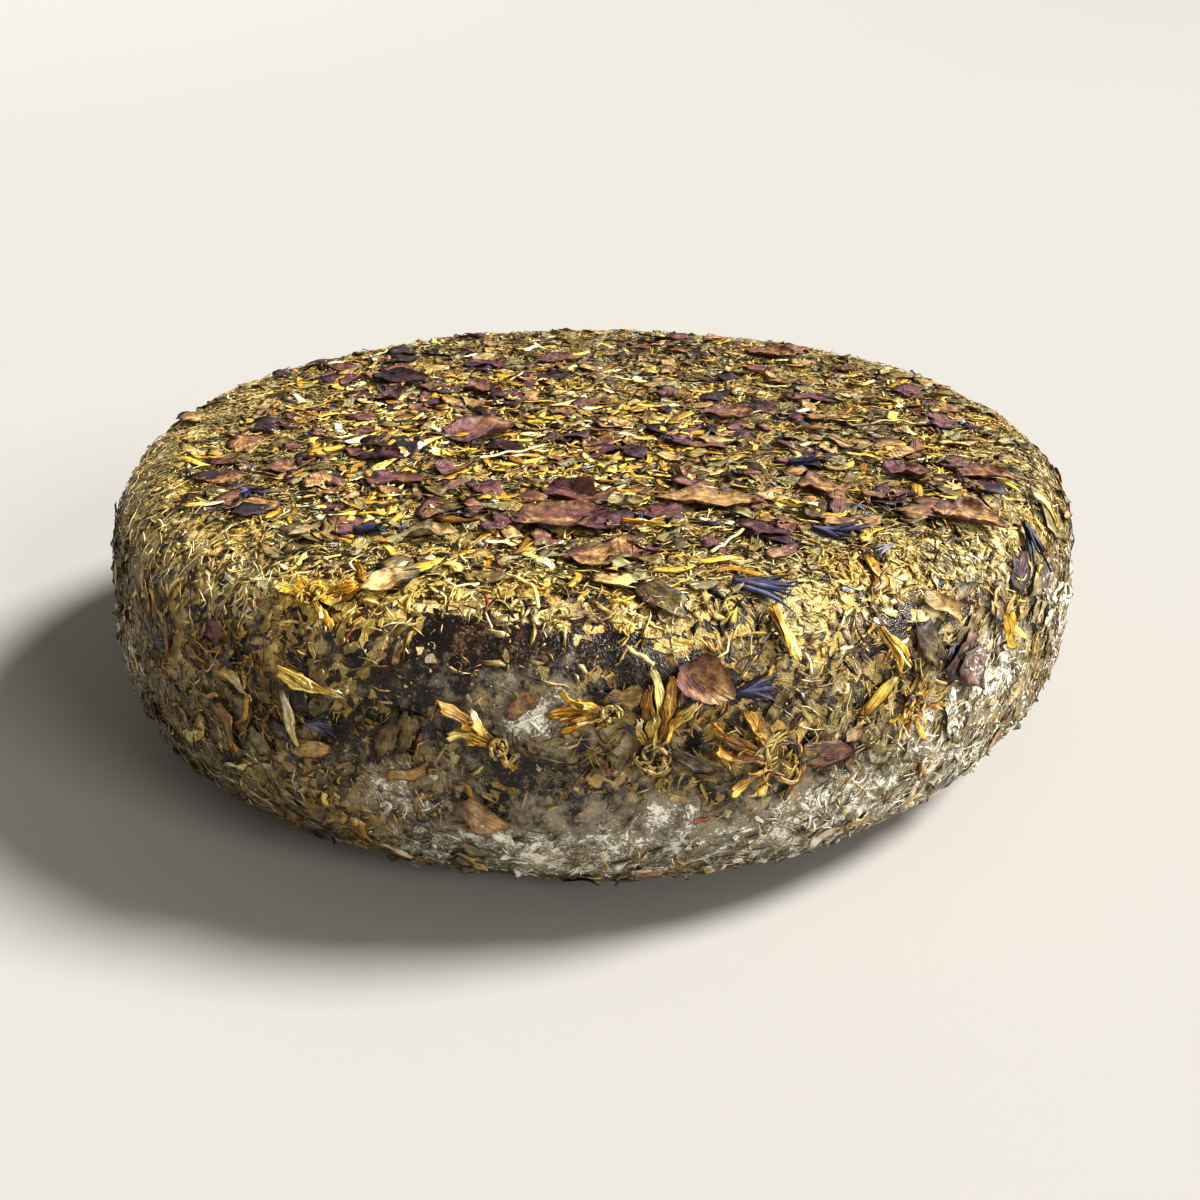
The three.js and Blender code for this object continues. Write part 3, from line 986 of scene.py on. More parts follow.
@dataclass(frozen=True)
class RindFinish(Finish):
    """Washed rind, damp and waxy where it is bare: near black to amber brown, with mould and herb pulp on it.

    It reads the attributes mould, the one for soak and painted shade, pulp, which is how far herb pulp covers
    it, and the one for the cream patches on the shoulder's edge, which are partly rind worn down to the cream
    paste under it and partly painted highlight.
    """

    name: str = "Cheese rind, washed and waxy"
    deep: str = "120b05"
    brown: str = "221409"
    amber: str = "482d13"
    fat: str = "9a7b4c"
    # cream is the colour of the patches on the shoulder's edge: worn-through paste and painted highlight
    cream: str = "f0d8a0"
    speck: str = "8d7d63"
    shreds = ((5.0, 0.55), (2.3, 0.0))  # sizes in millimetres, with how much less than the pulp each covers

    def skin(self, ground: Ground) -> Node:
        """Adds the rind's nodes.

        Args:
            ground: the material's tree.

        Returns:
            The shader.
        """
        tree, place = ground.tree, ground.place
        broad = add(tree, NOISE, place, 1 / (9 * MM), 6.0, 0.62)
        fine = add(tree, NOISE, place, 1 / (1.6 * MM), 4.0, 0.6)
        grit = add(tree, NOISE, place, 1 / (0.7 * MM), 3.0, 0.6)
        level = add(tree, TIMES, broad, 0.65)
        level = add(tree, TIMES_PLUS, fine, 0.35, level)
        wax = ((0.4, self.deep), (0.52, self.brown), (0.62, self.amber), (0.72, self.fat))
        colour = add(tree, RAMP, level, stops=wax)
        speck = add(tree, TIMES_PLUS, broad, 0.7, -0.35)
        speck = add(tree, PLUS, grit, speck)
        speck = add(tree, MAP_RANGE, speck, 0.58, 0.68, 0.0, 0.5)
        colour = add(tree, MIXED, speck, colour, linear(self.speck))
        level = add(tree, TIMES_PLUS, grit, 0.8, level)
        cover = add(tree, ATTRIBUTE, attribute_name="pulp").outputs["Fac"]
        for size, least in self.shreds:
            shred, shred_height, draw = self._shreds(ground, size)
            shown = add(tree, PLUS, cover, draw)
            shown = add(tree, OVER, shown, 1.0 + least)
            colour = add(tree, MIXED, shown, colour, shred)
            level = add(tree, TIMES_PLUS, shown, shred_height, level)
        colour, _ = ground.stained_and_shaded(colour, 0.8)
        # Cream patches on the shoulder's edge, partly worn-through paste and partly painted highlight.
        rubbed = add(tree, ATTRIBUTE, attribute_name="rubbed").outputs["Fac"]
        rubbed = add(tree, TIMES, rubbed, 0.7)
        rubbed = add(tree, TIMES_PLUS, broad, 0.7, rubbed)
        worn_and_highlight = add(tree, TIMES_PLUS, fine, 0.6, rubbed)
        worn_and_highlight = add(tree, MAP_RANGE, worn_and_highlight, 1.04, 1.18, 0.0, 0.9)
        colour = add(tree, MIXED, worn_and_highlight, colour, linear(self.cream))
        colour = ground.bloomed(colour, 0.8)
        colour, mask = ground.mouldy(colour, 0.85, grit)
        rough = add(tree, TIMES_PLUS, cover, 0.22, 0.17)
        rough = add(tree, TIMES_PLUS, mask, 0.5, rough)
        grain = add(tree, TIMES_PLUS, mask, 0.8, level)
        bump = add(tree, "ShaderNodeBump", {"Strength": 0.85, "Distance": 0.6 * MM, "Height": grain})
        sockets = {"Base Color": colour, "Roughness": rough, "Normal": bump, "IOR": 1.46}
        return add(tree, "ShaderNodeBsdfPrincipled", sockets)

    def _shreds(self, ground: Ground, size: float) -> tuple[Node, Node, Socket]:
        """Shreds of herb pressed flat into the rind, each streaked its own way.

        Args:
            ground: the material's tree.
            size: how big the shreds are, in millimetres.

        Returns:
            The shreds' colour, their height and a random draw for each shred.
        """
        tree, place = ground.tree, ground.place
        bent = add(tree, NOISE, place, 1 / (size * MM)).outputs["Color"]
        bent = add(tree, VECTORS_TIMES_PLUS, bent, (0.9 * size * MM,) * 3, place)
        cells = add(tree, "ShaderNodeTexVoronoi", bent, 1 / (size * MM)).outputs
        local = add(tree, VECTORS_MINUS, bent, cells["Position"])
        angles = add(tree, SCALED, cells["Color"], 6.283)
        turned = {"Vector": local, "Rotation": angles}
        turned = add(tree, "ShaderNodeVectorRotate", turned, rotation_type="EULER_XYZ")
        drawn_out = add(tree, VECTORS_TIMES, turned, (0.16, 1.0, 1.0))
        streak = add(tree, NOISE, drawn_out, 1 / (0.42 * MM), 2.0)
        split = add(tree, "ShaderNodeSeparateColor", cells["Color"]).outputs
        level = add(tree, MINUS, split["Red"], 0.35)
        level = add(tree, TIMES_PLUS, streak, 0.7, level)
        level = add(tree, TIMES_PLUS, ground.region(), 0.45, level)
        colour = add(tree, RAMP, level, stops=HERB_COLOURS)
        colour = add(tree, VECTORS_TIMES, colour, ground.hue())
        height = add(tree, TIMES, split["Green"], 0.7)
        height = add(tree, TIMES_PLUS, streak, 0.6, height)
        return colour, height, split["Blue"]


# Chopped meadow herbs, air dried and pressed into the rind: a jumble from straw to peat, mostly olive khaki.
HERB = PlantFinish(
    "Meadow herbs, chopped and dried",
    HERB_COLOURS,
    drift=0.45, roughness=0.4, contrast=0.4, mottle=1.4, streak=0.55, mould_hold=0.66,
)

# Hay, mown and sun dried: smooth pale stems with a slight gloss.
HAY = PlantFinish(
    "Hay, mown and sun dried",
    ((0.0, "6e5a2c"), (0.3, "9c8648"), (0.65, "c6b06e"), (1.0, "e8d9a6")),
    roughness=0.42, nerve=Nerve.LENGTHWISE, ribs=3, mould_hold=0.75, drift=0.25,
)

# Herb leaves, dried whole and broken: thin, matte and feather veined.
LEAF = PlantFinish(
    "Herb leaves, dried and broken",
    (
        (0.0, "3b2a14"), (0.25, "66552c"), (0.5, "8a743c"), (0.7, "858867"), (0.85, "a07c46"),
        (1.0, "c0a268"),
    ),
    run=0.25, roughness=0.55, nerve=Nerve.FEATHERED, ribs=7, rib_shade=0.18, mottle=3.0, blend=0.45,
    rim_width=0.1,
)

# Marigold ray florets, dried and crumpled: amber at the base to lemon and straw, a little waxy.
GOLD_RAY = PlantFinish(
    "Marigold florets, dried",
    (
        (0.0, "5a3a10"), (0.16, "946418"), (0.34, "bd8a26"), (0.55, "d8ac38"), (0.75, "e2c258"),
        (0.9, "f2d88a"), (1.0, "faecbe"),
    ),
    roughness=0.4, nerve=Nerve.LENGTHWISE, ribs=4, rib_shade=0.3, contrast=0.3, mottle=1.6, mould_hold=0.35,
    streak=0.4, run=0.35, blend=0.25, stain_and_shade=0.7, glow=0.12,
)

# Rose petals, dried dark: plum to mauve and tobacco brown, with a fan of veins and a browned rim.
ROSE_PETAL = PlantFinish(
    "Rose petals, dried",
    (
        (0.0, "150b10"), (0.18, "341a23"), (0.34, "4f2b30"), (0.48, "6f4645"), (0.6, "6b4536"),
        (0.78, "86603a"), (1.0, "aa8856"),
    ),
    roughness=0.58, nerve=Nerve.FANNED, ribs=7, rib_shade=0.12, rim="2b1716", rim_width=0.12, contrast=0.55,
    mottle=2.6, relief=0.35, mould_hold=0.6, streak=0.12, run=0.3, blend=0.55, stain_and_shade=0.45, glow=0.05,
)

# Cornflower florets, dried: ink blue to violet, faded grey at their tips.
BLUE_RAY = PlantFinish(
    "Cornflower florets, dried",
    (
        (0.0, "100f18"), (0.25, "1c1d2e"), (0.45, "2e3048"), (0.58, "434268"), (0.7, "62647a"),
        (0.85, "86898c"), (1.0, "b5b8ae"),
    ),
    roughness=0.55, nerve=Nerve.LENGTHWISE, ribs=5, contrast=0.35,
)

# Safflower threads, dried: orange red and limp.
THREAD = PlantFinish(
    "Safflower threads, dried",
    ((0.0, "3c100c"), (0.35, "5c1c12"), (0.7, "8a3018"), (1.0, "b8642c")),
    roughness=0.45, run=0.4, mould_hold=0.3, stain_and_shade=0.6,
)

# Chips of pith and seed husk, dried: cream, with hardly any pattern.
CHIP = PlantFinish(
    "Pith and seed husks, dried",
    ((0.0, "b7a276"), (0.5, "dccda2"), (1.0, "f3ecd0")),
    roughness=0.5, contrast=0.18, mould_hold=0.2,
)

# White mould in grains that stand on the rind: chalk white.
FLUFF = PlantFinish(
    "White mould, grown in grains",
    ((0.0, "9d978a"), (0.5, "c9c4b6"), (1.0, "efece2")),
    roughness=0.95, contrast=0.15, mould_hold=0.0,
)


# ---- Shapes of the small pieces ----
# One unit long and one unit wide, with their thickness as the unit of height.


def closed_sheet(name: str, upper: np.ndarray, lower: np.ndarray, smoothed: bool = True) -> Mesh:
    """Makes a closed thin sheet whose upper and lower grids share their rim.

    Args:
        name: the mesh's name.
        upper: grid of positions (along, across, 3).
        lower: the same grid for the underside, whose rim isn't used.
        smoothed: whether it is shaded smooth.

    Returns:
        The mesh, with its flat map.
    """
    long, wide = upper.shape[:2]
    top = np.arange(long * wide).reshape(long, wide)
    under = top.copy()
    inner = (long - 2) * (wide - 2)
    under[1:-1, 1:-1] = long * wide + np.arange(inner).reshape(long - 2, wide - 2)
    vertices = np.concatenate([upper.reshape(-1, 3), lower[1:-1, 1:-1].reshape(-1, 3)])
    faces = []
    for i in range(long - 1):
        for j in range(wide - 1):
            faces.append((top[i, j], top[i + 1, j], top[i + 1, j + 1], top[i, j + 1]))
            faces.append((under[i, j], under[i, j + 1], under[i + 1, j + 1], under[i + 1, j]))
    mesh = mesh_from(name, vertices, faces, smoothed)
    u, v = np.meshgrid(np.linspace(0, 1, long), np.linspace(0, 1, wide), indexing="ij")
    flat = np.stack([u, v], axis=-1)
    lay_map(mesh, np.concatenate([flat.reshape(-1, 2), flat[1:-1, 1:-1].reshape(-1, 2)]))
    return mesh


@dataclass(frozen=True)
class SmallShape:
    """A small piece that is strewn by the thousand, made in a few variants."""

    variants: int = 12

    def meshes(self, rng: Random) -> list[Mesh]:
        """Makes the variants."""
        return [self.one(rng, number) for number in range(self.variants)]

    def one(self, rng: Random, number: int) -> Mesh:
        """Makes one variant, and each kind of shape has its own way to."""
        raise NotImplementedError


@dataclass(frozen=True)
class CrumbShape(SmallShape):
    """A flat crumb of herb: a low, ragged, many-cornered plate."""

    corners: int = 6

    def one(self, rng: Random, number: int) -> Mesh:
        """Makes one crumb.

        Args:
            rng: where its chances come from.
            number: which variant it is.

        Returns:
            The mesh.
        """
        n = self.corners
        angle = (np.arange(n) + rng.uniform(-0.35, 0.35, n)) * TURN / n
        reach = 0.5 * rng.uniform(0.4, 1.0, n)
        bend = rng.uniform(-0.5, 0.5)
        x = reach * np.cos(angle)
        y = reach * np.sin(angle) + bend * (4 * x * x - 0.5)
        rim = np.stack([x, y, rng.uniform(-0.5, 0.9, n)], axis=1)
        heads = np.array([[0.08, 0.04 - 0.5 * bend, 0.6], [0.08, 0.04 - 0.5 * bend, -0.5]])
        faces = []
        for k in range(n):
            faces.append((n, k, (k + 1) % n))
            faces.append((n + 1, (k + 1) % n, k))
        vertices = np.concatenate([rim, heads])
        mesh = mesh_from(f"crumb_{number}", vertices, faces, smoothed=number % 3 > 0)
        lay_map(mesh, vertices[:, :2] + 0.5)
        return mesh


@dataclass(frozen=True)
class StemShape(SmallShape):
    """A thin stem or thread: three-sided, pointed at both ends, bowed and kinked."""

    rings: int = 3
    bow: float = 0.12
    kink: float = 1.0

    def one(self, rng: Random, number: int) -> Mesh:
        """Makes one stem.

        Args:
            rng: where its chances come from.
            number: which variant it is.

        Returns:
            The mesh.
        """
        along = np.linspace(-0.5, 0.5, self.rings + 2)
        bow = rng.uniform(-self.bow, self.bow) / 0.08
        swing = rng.uniform(-0.4, 0.4, along.size)
        side = bow * np.cos(math.pi * along) + swing
        rise = rng.uniform(0, self.kink, along.size) + 0.6 * np.cos(math.pi * along)
        vertices, faces = [(along[0], side[0], rise[0])], []
        for k in range(1, self.rings + 1):
            for corner in range(3):
                turn = TURN * corner / 3 + 0.5
                vertices.append((along[k], side[k] + 0.5 * math.cos(turn), rise[k] + 0.5 * math.sin(turn)))
        vertices.append((along[-1], side[-1], rise[-1]))
        last = len(vertices) - 1
        for corner in range(3):
            after = (corner + 1) % 3
            faces.append((0, 1 + after, 1 + corner))
            for k in range(self.rings - 1):
                low = 1 + 3 * k
                faces.append((low + corner, low + after, low + 3 + after, low + 3 + corner))
            low = 1 + 3 * (self.rings - 1)
            faces.append((low + corner, low + after, last))
        vertices = np.array(vertices)
        mesh = mesh_from(f"stem_{number}", vertices, faces)
        lay_map(mesh, np.stack([vertices[:, 0] + 0.5, np.full(len(vertices), 0.5)], axis=1))
        return mesh


@dataclass(frozen=True)
class StrapShape(SmallShape):
    """A strap floret: narrow, arched across, curled along and notched at its tip."""

    variants: int = 14
    steps: int = 7
    curl: float = 2.6

    def one(self, rng: Random, number: int) -> Mesh:
        """Makes one strap.

        Args:
            rng: where its chances come from.
            number: which variant it is.

        Returns:
            The mesh.
        """
        t = np.linspace(0, 1, self.steps)[:, None]
        w = np.linspace(-1, 1, 4)[None, :]
        torn = 1 + 0.35 * rng.uniform(-1, 1, (self.steps, 4))
        half = 0.5 * (0.4 + 0.6 * np.sin(math.pi * (0.06 + 0.8 * t))) * torn
        sway = rng.uniform(-1.6, 1.6) * (t - 0.5) ** 2 + rng.uniform(-0.5, 0.5) * np.sin(5 * t)
        arch = rng.uniform(-0.6, 1.6) * (1 - w**2)
        height = arch + self.curl * rng.uniform(-0.2, 1) * t**3
        height = height + self.curl * rng.uniform(0, 0.5) * (1 - t) ** 3
        height = height + rng.uniform(-2.0, 2.0) * w * np.sin(4 * t + rng.uniform(0, 6))
        height = height + rng.uniform(0.5, 1.6) * np.sin(9 * t + rng.uniform(0, 6))
        height = height + rng.uniform(-0.6, 0.6, w.shape)
        along = (t - 0.5) + 0.05 * rng.uniform(-1, 1, w.shape) * (t**4 + (1 - t) ** 4)
        height = height - height.min()
        upper = np.stack([along + 0 * w, w * half + sway, height + 0.5], axis=-1)
        lower = upper - np.array([0, 0, 1.0])
        return closed_sheet(f"strap_{number}", upper, lower)


@dataclass(frozen=True)
class ScrapShape(SmallShape):
    """A scrap of petal or leaf: broad, with a torn, wavy outline, cupped and creased."""

    variants: int = 16
    long: int = 6
    wide: int = 6
    ragged: float = 0.24
    crease: float = 1.6
    pointed: float = 0.0

    def one(self, rng: Random, number: int) -> Mesh:
        """Makes one scrap.

        Args:
            rng: where its chances come from.
            number: which variant it is.

        Returns:
            The mesh.
        """
        x, y = disc_grid(self.long, self.wide)
        angle, reach = np.arctan2(y, x), np.hypot(x, y)
        waves = sum(rng.uniform(-1, 1) * np.sin(k * angle + rng.uniform(0, 6.3)) for k in (1, 2, 3, 5, 7))
        outline = 1 + self.ragged * 0.5 * waves - self.pointed * (1 - np.abs(np.cos(angle)))
        x, y = 0.5 * x * outline, 0.5 * y * outline
        height = rng.uniform(0, 2.5) * reach**2 * np.cos(2 * angle + rng.uniform(0, 6.3))
        height = height + self.crease * np.sin(4 * x + 5 * y * rng.uniform(-1, 1) + rng.uniform(0, 6.3))
        height = height + rng.uniform(0.5, 2.5) * reach**4 * (1 + np.sin(3 * angle + rng.uniform(0, 6.3)))
        upper = np.stack([x, y, height + 0.5], axis=-1)
        lower = upper - np.array([0, 0, 1.0])
        return closed_sheet(f"scrap_{number}", upper, lower)


@dataclass(frozen=True)
class LobeShape(SmallShape):
    """A cornflower floret: a narrow tube that splits into pointed lobes."""

    variants: int = 8
    lobes: int = 5
    half_width: float = 0.075

    def one(self, rng: Random, number: int) -> Mesh:
        """Makes one floret as a fan of thin spindles that start together.

        Args:
            rng: where its chances come from.
            number: which variant it is.

        Returns:
            The mesh.
        """
        vertices, faces, flat = [], [], []
        for k in range(self.lobes):
            aim = (k - (self.lobes - 1) / 2) / self.lobes * rng.uniform(1.0, 1.5)
            tip = np.array([rng.uniform(0.35, 0.5), aim * 0.9, rng.uniform(-0.5, 3.0)])
            base = np.array([-0.5, 0.03 * (k - 2), rng.uniform(0, 0.5)])
            middle = base * 0.42 + tip * 0.58 + np.array([0, 0, rng.uniform(0, 1.2)])
            half = self.half_width
            first = len(vertices)
            vertices += [base, middle - (0, half, 0), middle + (0, 0, 0.6), middle + (0, half, 0)]
            vertices += [middle - (0, 0, 0.5), tip]
            ring = [first + 1, first + 4, first + 3, first + 2]
            for a, b in zip(ring, ring[1:] + ring[:1]):
                faces.append((first, b, a))
                faces.append((first + 5, a, b))
            flat += [(0, 0.5), (0.6, 0.3), (0.6, 0.5), (0.6, 0.7), (0.6, 0.5), (1, 0.5)]
        mesh = mesh_from(f"floret_{number}", np.array(vertices), faces)
        lay_map(mesh, np.array(flat))
        return mesh


# ---- The larger pieces ----
# Each at the place of its CAD node.


DAMP_AND_SHADED_WALL = (140, 190)  # where the wall gets damp and mouldy, and darker with painted shade, in millimetres along the section


def ripple(rng: Random, angle: np.ndarray, turns: tuple[int, ...]) -> np.ndarray:
    """A random wave round a rim, made of whole numbers of turns, the higher ones lower."""
    return sum(rng.uniform(-1, 1) / math.sqrt(k) * np.sin(k * angle + rng.uniform(0, 6.3)) for k in turns)


def creases(rng: Random, x: np.ndarray, y: np.ndarray, size: float, count: int = 6) -> np.ndarray:
    """Crinkles that run every way over a sheet.

    Args:
        rng: where its chances come from.
        x: each place along the sheet, in millimetres.
        y: each place across it.
        size: about how far apart they are, in millimetres.
        count: how many sets of them there are.

    Returns:
        Heights from about -1 to 1.
    """
    total = np.zeros_like(x)
    for _ in range(count):
        way = rng.uniform(0, math.pi)
        phase = (x * math.cos(way) + y * math.sin(way)) / size * rng.uniform(0.6, 1.8)
        bend = 0.8 * np.sin((y * math.cos(way) - x * math.sin(way)) / size * 0.7 + rng.uniform(0, 6.3))
        total += 1 - 2 * np.abs(np.sin(phase + bend + rng.uniform(0, 6.3))) ** 0.7
    return total / count


def tinted(mesh: Mesh, tint: np.ndarray, lie: Lie) -> None:
    """Stores the tint of a larger piece, and how mouldy and soaked it is where it lies, the soak partly
    painted shade down the wall.
    """
    down = np.full(len(mesh.vertices), smooth(*DAMP_AND_SHADED_WALL, np.array(lie.along)))
    store(mesh, tint=tint, mould=0.5 * down, soak=0.1 + 0.3 * down)


@dataclass(frozen=True)
class Petal:
    """How one larger petal or leaf is tinted and shaped.

    tint and tip_tint run over its finish's palette from its base to its tip. cup lifts its long edges, curl
    its tip and fold one long edge, in millimetres. ragged is how uneven its outline is, pointed how far it
    narrows at both ends and torn how far it has broken along straight edges, as shares.
    """

    tint: float
    tip_tint: float
    cup: float = 0.8
    curl: float = 0.8
    fold: float = 0.0
    ragged: float = 0.1
    pointed: float = 0.0
    torn: float = 0.8


@dataclass(frozen=True)
class LargePetals:
    """The larger petals or leaves: thin crinkled sheets at the places of their CAD nodes.

    stem and ending are the parts of their names before and after the number. steps and across are how many
    points run along and across each, thick and rest its thickness and its height over the surface in
    millimetres.
    """

    stem: str
    ending: str
    slot: str
    finish: PlantFinish
    petals: tuple[Petal, ...]
    steps: int = 34
    across: int = 24
    thick: float = 0.24
    rest: float = 0.4
    seeds = 100  # what the seeds of its petals are counted from

    def build(self, surface: WheelSurface, nodes: Frame) -> None:
        """Makes each petal in place of its CAD node.

        Args:
            surface: the wheel's surface.
            nodes: the CAD nodes by name.
        """
        material = self.finish.make()
        for number, petal in enumerate(self.petals, start=1):
            node = f"{self.stem}_{number:02d}"
            mesh = self._sheet(surface, surface.lie_of(nodes[node]), petal, number)
            mesh.materials.append(material)
            show(f"{node}_{self.ending}", mesh, (node,))

    def _sheet(self, surface: WheelSurface, lie: Lie, petal: Petal, seed: int) -> Mesh:
        """Makes one petal's mesh.

        Args:
            surface: the wheel's surface.
            lie: where it lies.
            petal: how it is tinted and shaped.
            seed: which one it is.

        Returns:
            The mesh.
        """
        rng = np.random.default_rng(self.seeds + seed)
        x, y = disc_grid(self.steps, self.across)
        angle, reach = np.arctan2(y, x), np.hypot(x, y)
        uneven = ripple(rng, angle, (2, 3, 5, 7, 11))
        uneven = uneven + 0.6 * ripple(rng, angle, (13, 19, 26))
        outline = 1 + petal.ragged * uneven
        outline = outline - petal.pointed * (1 - np.abs(np.cos(angle))) * 0.6
        corners = np.sort(rng.uniform(0, TURN / 6, 6) + np.arange(6) * TURN / 6)
        broken = [rng.uniform(0.7, 1.05) / np.maximum(np.cos(angle - c), 0.3) for c in corners]
        broken = np.minimum(np.min(broken, axis=0), 1.2)
        outline = np.clip(outline * (1 - petal.torn + petal.torn * broken), 0.4, 1.18)
        share = (x + 1) / 2
        width = 1 - 0.3 * share**3 - 0.12 * (1 - share) ** 4
        along = x * outline * lie.long / 2
        side = y * outline * width * lie.wide / 2
        rim = reach**3
        height = 1.5 * petal.cup * (y**2) * rim + 1.5 * petal.curl * np.maximum(x, 0) ** 3
        height = height + petal.fold * smooth(0.35, 1.0, y) + 1.1 * ripple(rng, angle, (2, 3, 5)) * reach**3
        height = height + 0.85 * creases(rng, along, side, 3.0) + 0.3 * creases(rng, along, side, 1.0)
        height = self.rest + self.thick + np.maximum(height - height.min() * 0.6, 0.0)
        flat = np.stack([along, side, height], axis=-1)
        mesh = closed_sheet("sheet", flat, flat - np.array([0, 0, self.thick]))
        local = vertices_of(mesh)
        place = surface.drape(lie, local)
        mesh.vertices.foreach_set("co", place.astype(np.float32).ravel())
        mesh.update()
        blend = np.clip(local[:, 0] / lie.long + 0.5 + 0.25 * np.sin(local[:, 1] * 0.9 + seed), 0, 1)
        tinted(mesh, petal.tint + (petal.tip_tint - petal.tint) * blend, lie)
        return mesh


ROSE_PETALS = (
    Petal(0.45, 0.62, cup=1.6, curl=1.0, ragged=0.06),
    Petal(0.52, 0.42, ragged=0.12),
    Petal(0.5, 0.6, ragged=0.12),
    Petal(0.1, 0.3, ragged=0.14),
    Petal(0.02, 0.2, cup=1.4, ragged=0.1),
    Petal(0.62, 0.2, cup=1.2, curl=1.4),
    Petal(0.4, 0.25, ragged=0.12),
    Petal(0.6, 0.5, cup=1.2),
    Petal(0.45, 0.6, ragged=0.14),
    Petal(0.42, 0.55, cup=0.6, fold=2.6, curl=0.8, ragged=0.05),
    Petal(0.95, 0.3, cup=0.8, curl=1.6, fold=1.0, ragged=0.12),
    Petal(0.84, 0.8, ragged=0.12),
    Petal(0.95, 0.86, cup=1.0, ragged=0.03, pointed=0.25),
    Petal(0.9, 0.75, ragged=0.12),
    Petal(0.45, 0.55, cup=1.2, ragged=0.1),
    Petal(0.72, 0.62, ragged=0.14),
    Petal(0.85, 0.7, cup=1.8, curl=1.6, ragged=0.15),
    Petal(0.62, 0.7, cup=1.4, ragged=0.1),
    Petal(0.8, 0.6, ragged=0.12),
    Petal(0.66, 0.85, ragged=0.14),
    Petal(0.6, 0.88, cup=1.3, ragged=0.12),
    Petal(0.85, 0.9, ragged=0.1, pointed=0.4),
    Petal(0.9, 0.95, ragged=0.06, pointed=0.25),
)
LEAVES = (
    Petal(0.62, 0.9, ragged=0.08, pointed=0.5),
    Petal(0.85, 0.6, ragged=0.1, pointed=0.4),
    Petal(0.8, 0.95, ragged=0.1, pointed=0.5),
    Petal(0.9, 1.0, ragged=0.08, pointed=0.5),
)


@dataclass(frozen=True)
class Strand:
    """A path over the wheel, along, across and over it in millimetres, with a radius at each point."""

    path: np.ndarray
    radius: np.ndarray
    flat: float = 1.0  # its thickness as a share of its width


class Posy:
    """A bunch of sheets and strands that are gathered into one closed-surfaced mesh, in flat millimetres."""

    def __init__(self) -> None:
        """Starts empty."""
        self.vertices: list[np.ndarray] = []
        self.faces: list[tuple[int, ...]] = []
        self.places: list[np.ndarray] = []
        self.tints: list[np.ndarray] = []
        self.count = 0

    def _take(self, vertices: np.ndarray, faces: list, places: np.ndarray, tint: float) -> None:
        """Takes in one closed shape.

        Args:
            vertices: positions in flat millimetres.
            faces: each face's vertex numbers.
            places: each vertex's place in the flat map.
            tint: the shape's tint.
        """
        self.faces += [tuple(self.count + v for v in face) for face in faces]
        self.vertices.append(vertices)
        self.places.append(places)
        self.tints.append(np.full(len(vertices), tint))
        self.count += len(vertices)

    def sheet(self, upper: np.ndarray, thick: float, tint: float) -> None:
        """Adds a thin sheet.

        Args:
            upper: a grid of positions on its upper side.
            thick: its thickness in millimetres.
            tint: its tint.
        """
        mesh = closed_sheet("sheet", upper, upper - np.array([0, 0, thick]))
        flat = np.empty(len(mesh.loops) * 2, dtype=np.float32)
        mesh.uv_layers[FLAT_MAP].data.foreach_get("uv", flat)
        corners = np.empty(len(mesh.loops), dtype=np.int32)
        mesh.loops.foreach_get("vertex_index", corners)
        places = np.zeros((len(mesh.vertices), 2))
        places[corners] = flat.reshape(-1, 2)
        self._take(vertices_of(mesh), [tuple(p.vertices) for p in mesh.polygons], places, tint)
        bpy.data.meshes.remove(mesh)

    def strand(self, strand: Strand, tint: float, sides: int = 5) -> None:
        """Adds a tube along a path, closed to a point at each end.

        Args:
            strand: its path and radius.
            tint: its tint.
            sides: how many sides it has.
        """
        path, radius = strand.path, strand.radius
        way = np.gradient(path, axis=0)
        way /= np.maximum(np.linalg.norm(way, axis=1, keepdims=True), 1e-9)
        side = np.cross(np.broadcast_to([0.0, 0.0, 1.0], way.shape), way)
        side /= np.maximum(np.linalg.norm(side, axis=1, keepdims=True), 1e-9)
        over = np.cross(way, side)
        rings = []
        for corner in range(sides):
            turn = TURN * corner / sides
            reach = side * math.cos(turn) + over * math.sin(turn) * strand.flat
            rings.append(path[1:-1] + reach[1:-1] * radius[1:-1, None])
        inner = len(path) - 2
        vertices = np.concatenate([path[:1], np.stack(rings, axis=1).reshape(-1, 3), path[-1:]])
        faces = []
        last = 1 + inner * sides
        for corner in range(sides):
            after = (corner + 1) % sides
            faces.append((0, 1 + after, 1 + corner))
            faces.append((last, last - sides + corner, last - sides + after))
            for k in range(inner - 1):
                low = 1 + k * sides
                faces.append((low + corner, low + after, low + sides + after, low + sides + corner))
        share = np.repeat(np.linspace(0, 1, inner), sides)
        across = np.tile(np.arange(sides) / sides, inner)
        places = np.concatenate([[[0, 0.5]], np.stack([share, across], axis=1), [[1, 0.5]]])
        self._take(vertices, faces, places, tint)

    def lay(self, surface: WheelSurface, lie: Lie, name: str) -> Mesh:
        """Lays the bunch on the wheel.

        Args:
            surface: the wheel's surface.
            lie: where it lies.
            name: the mesh's name.

        Returns:
            The mesh, with its flat map and tints.
        """
        vertices = surface.drape(lie, np.concatenate(self.vertices))
        mesh = mesh_from(name, vertices, self.faces)
        lay_map(mesh, np.concatenate(self.places))
        tinted(mesh, np.concatenate(self.tints), lie)
        return mesh


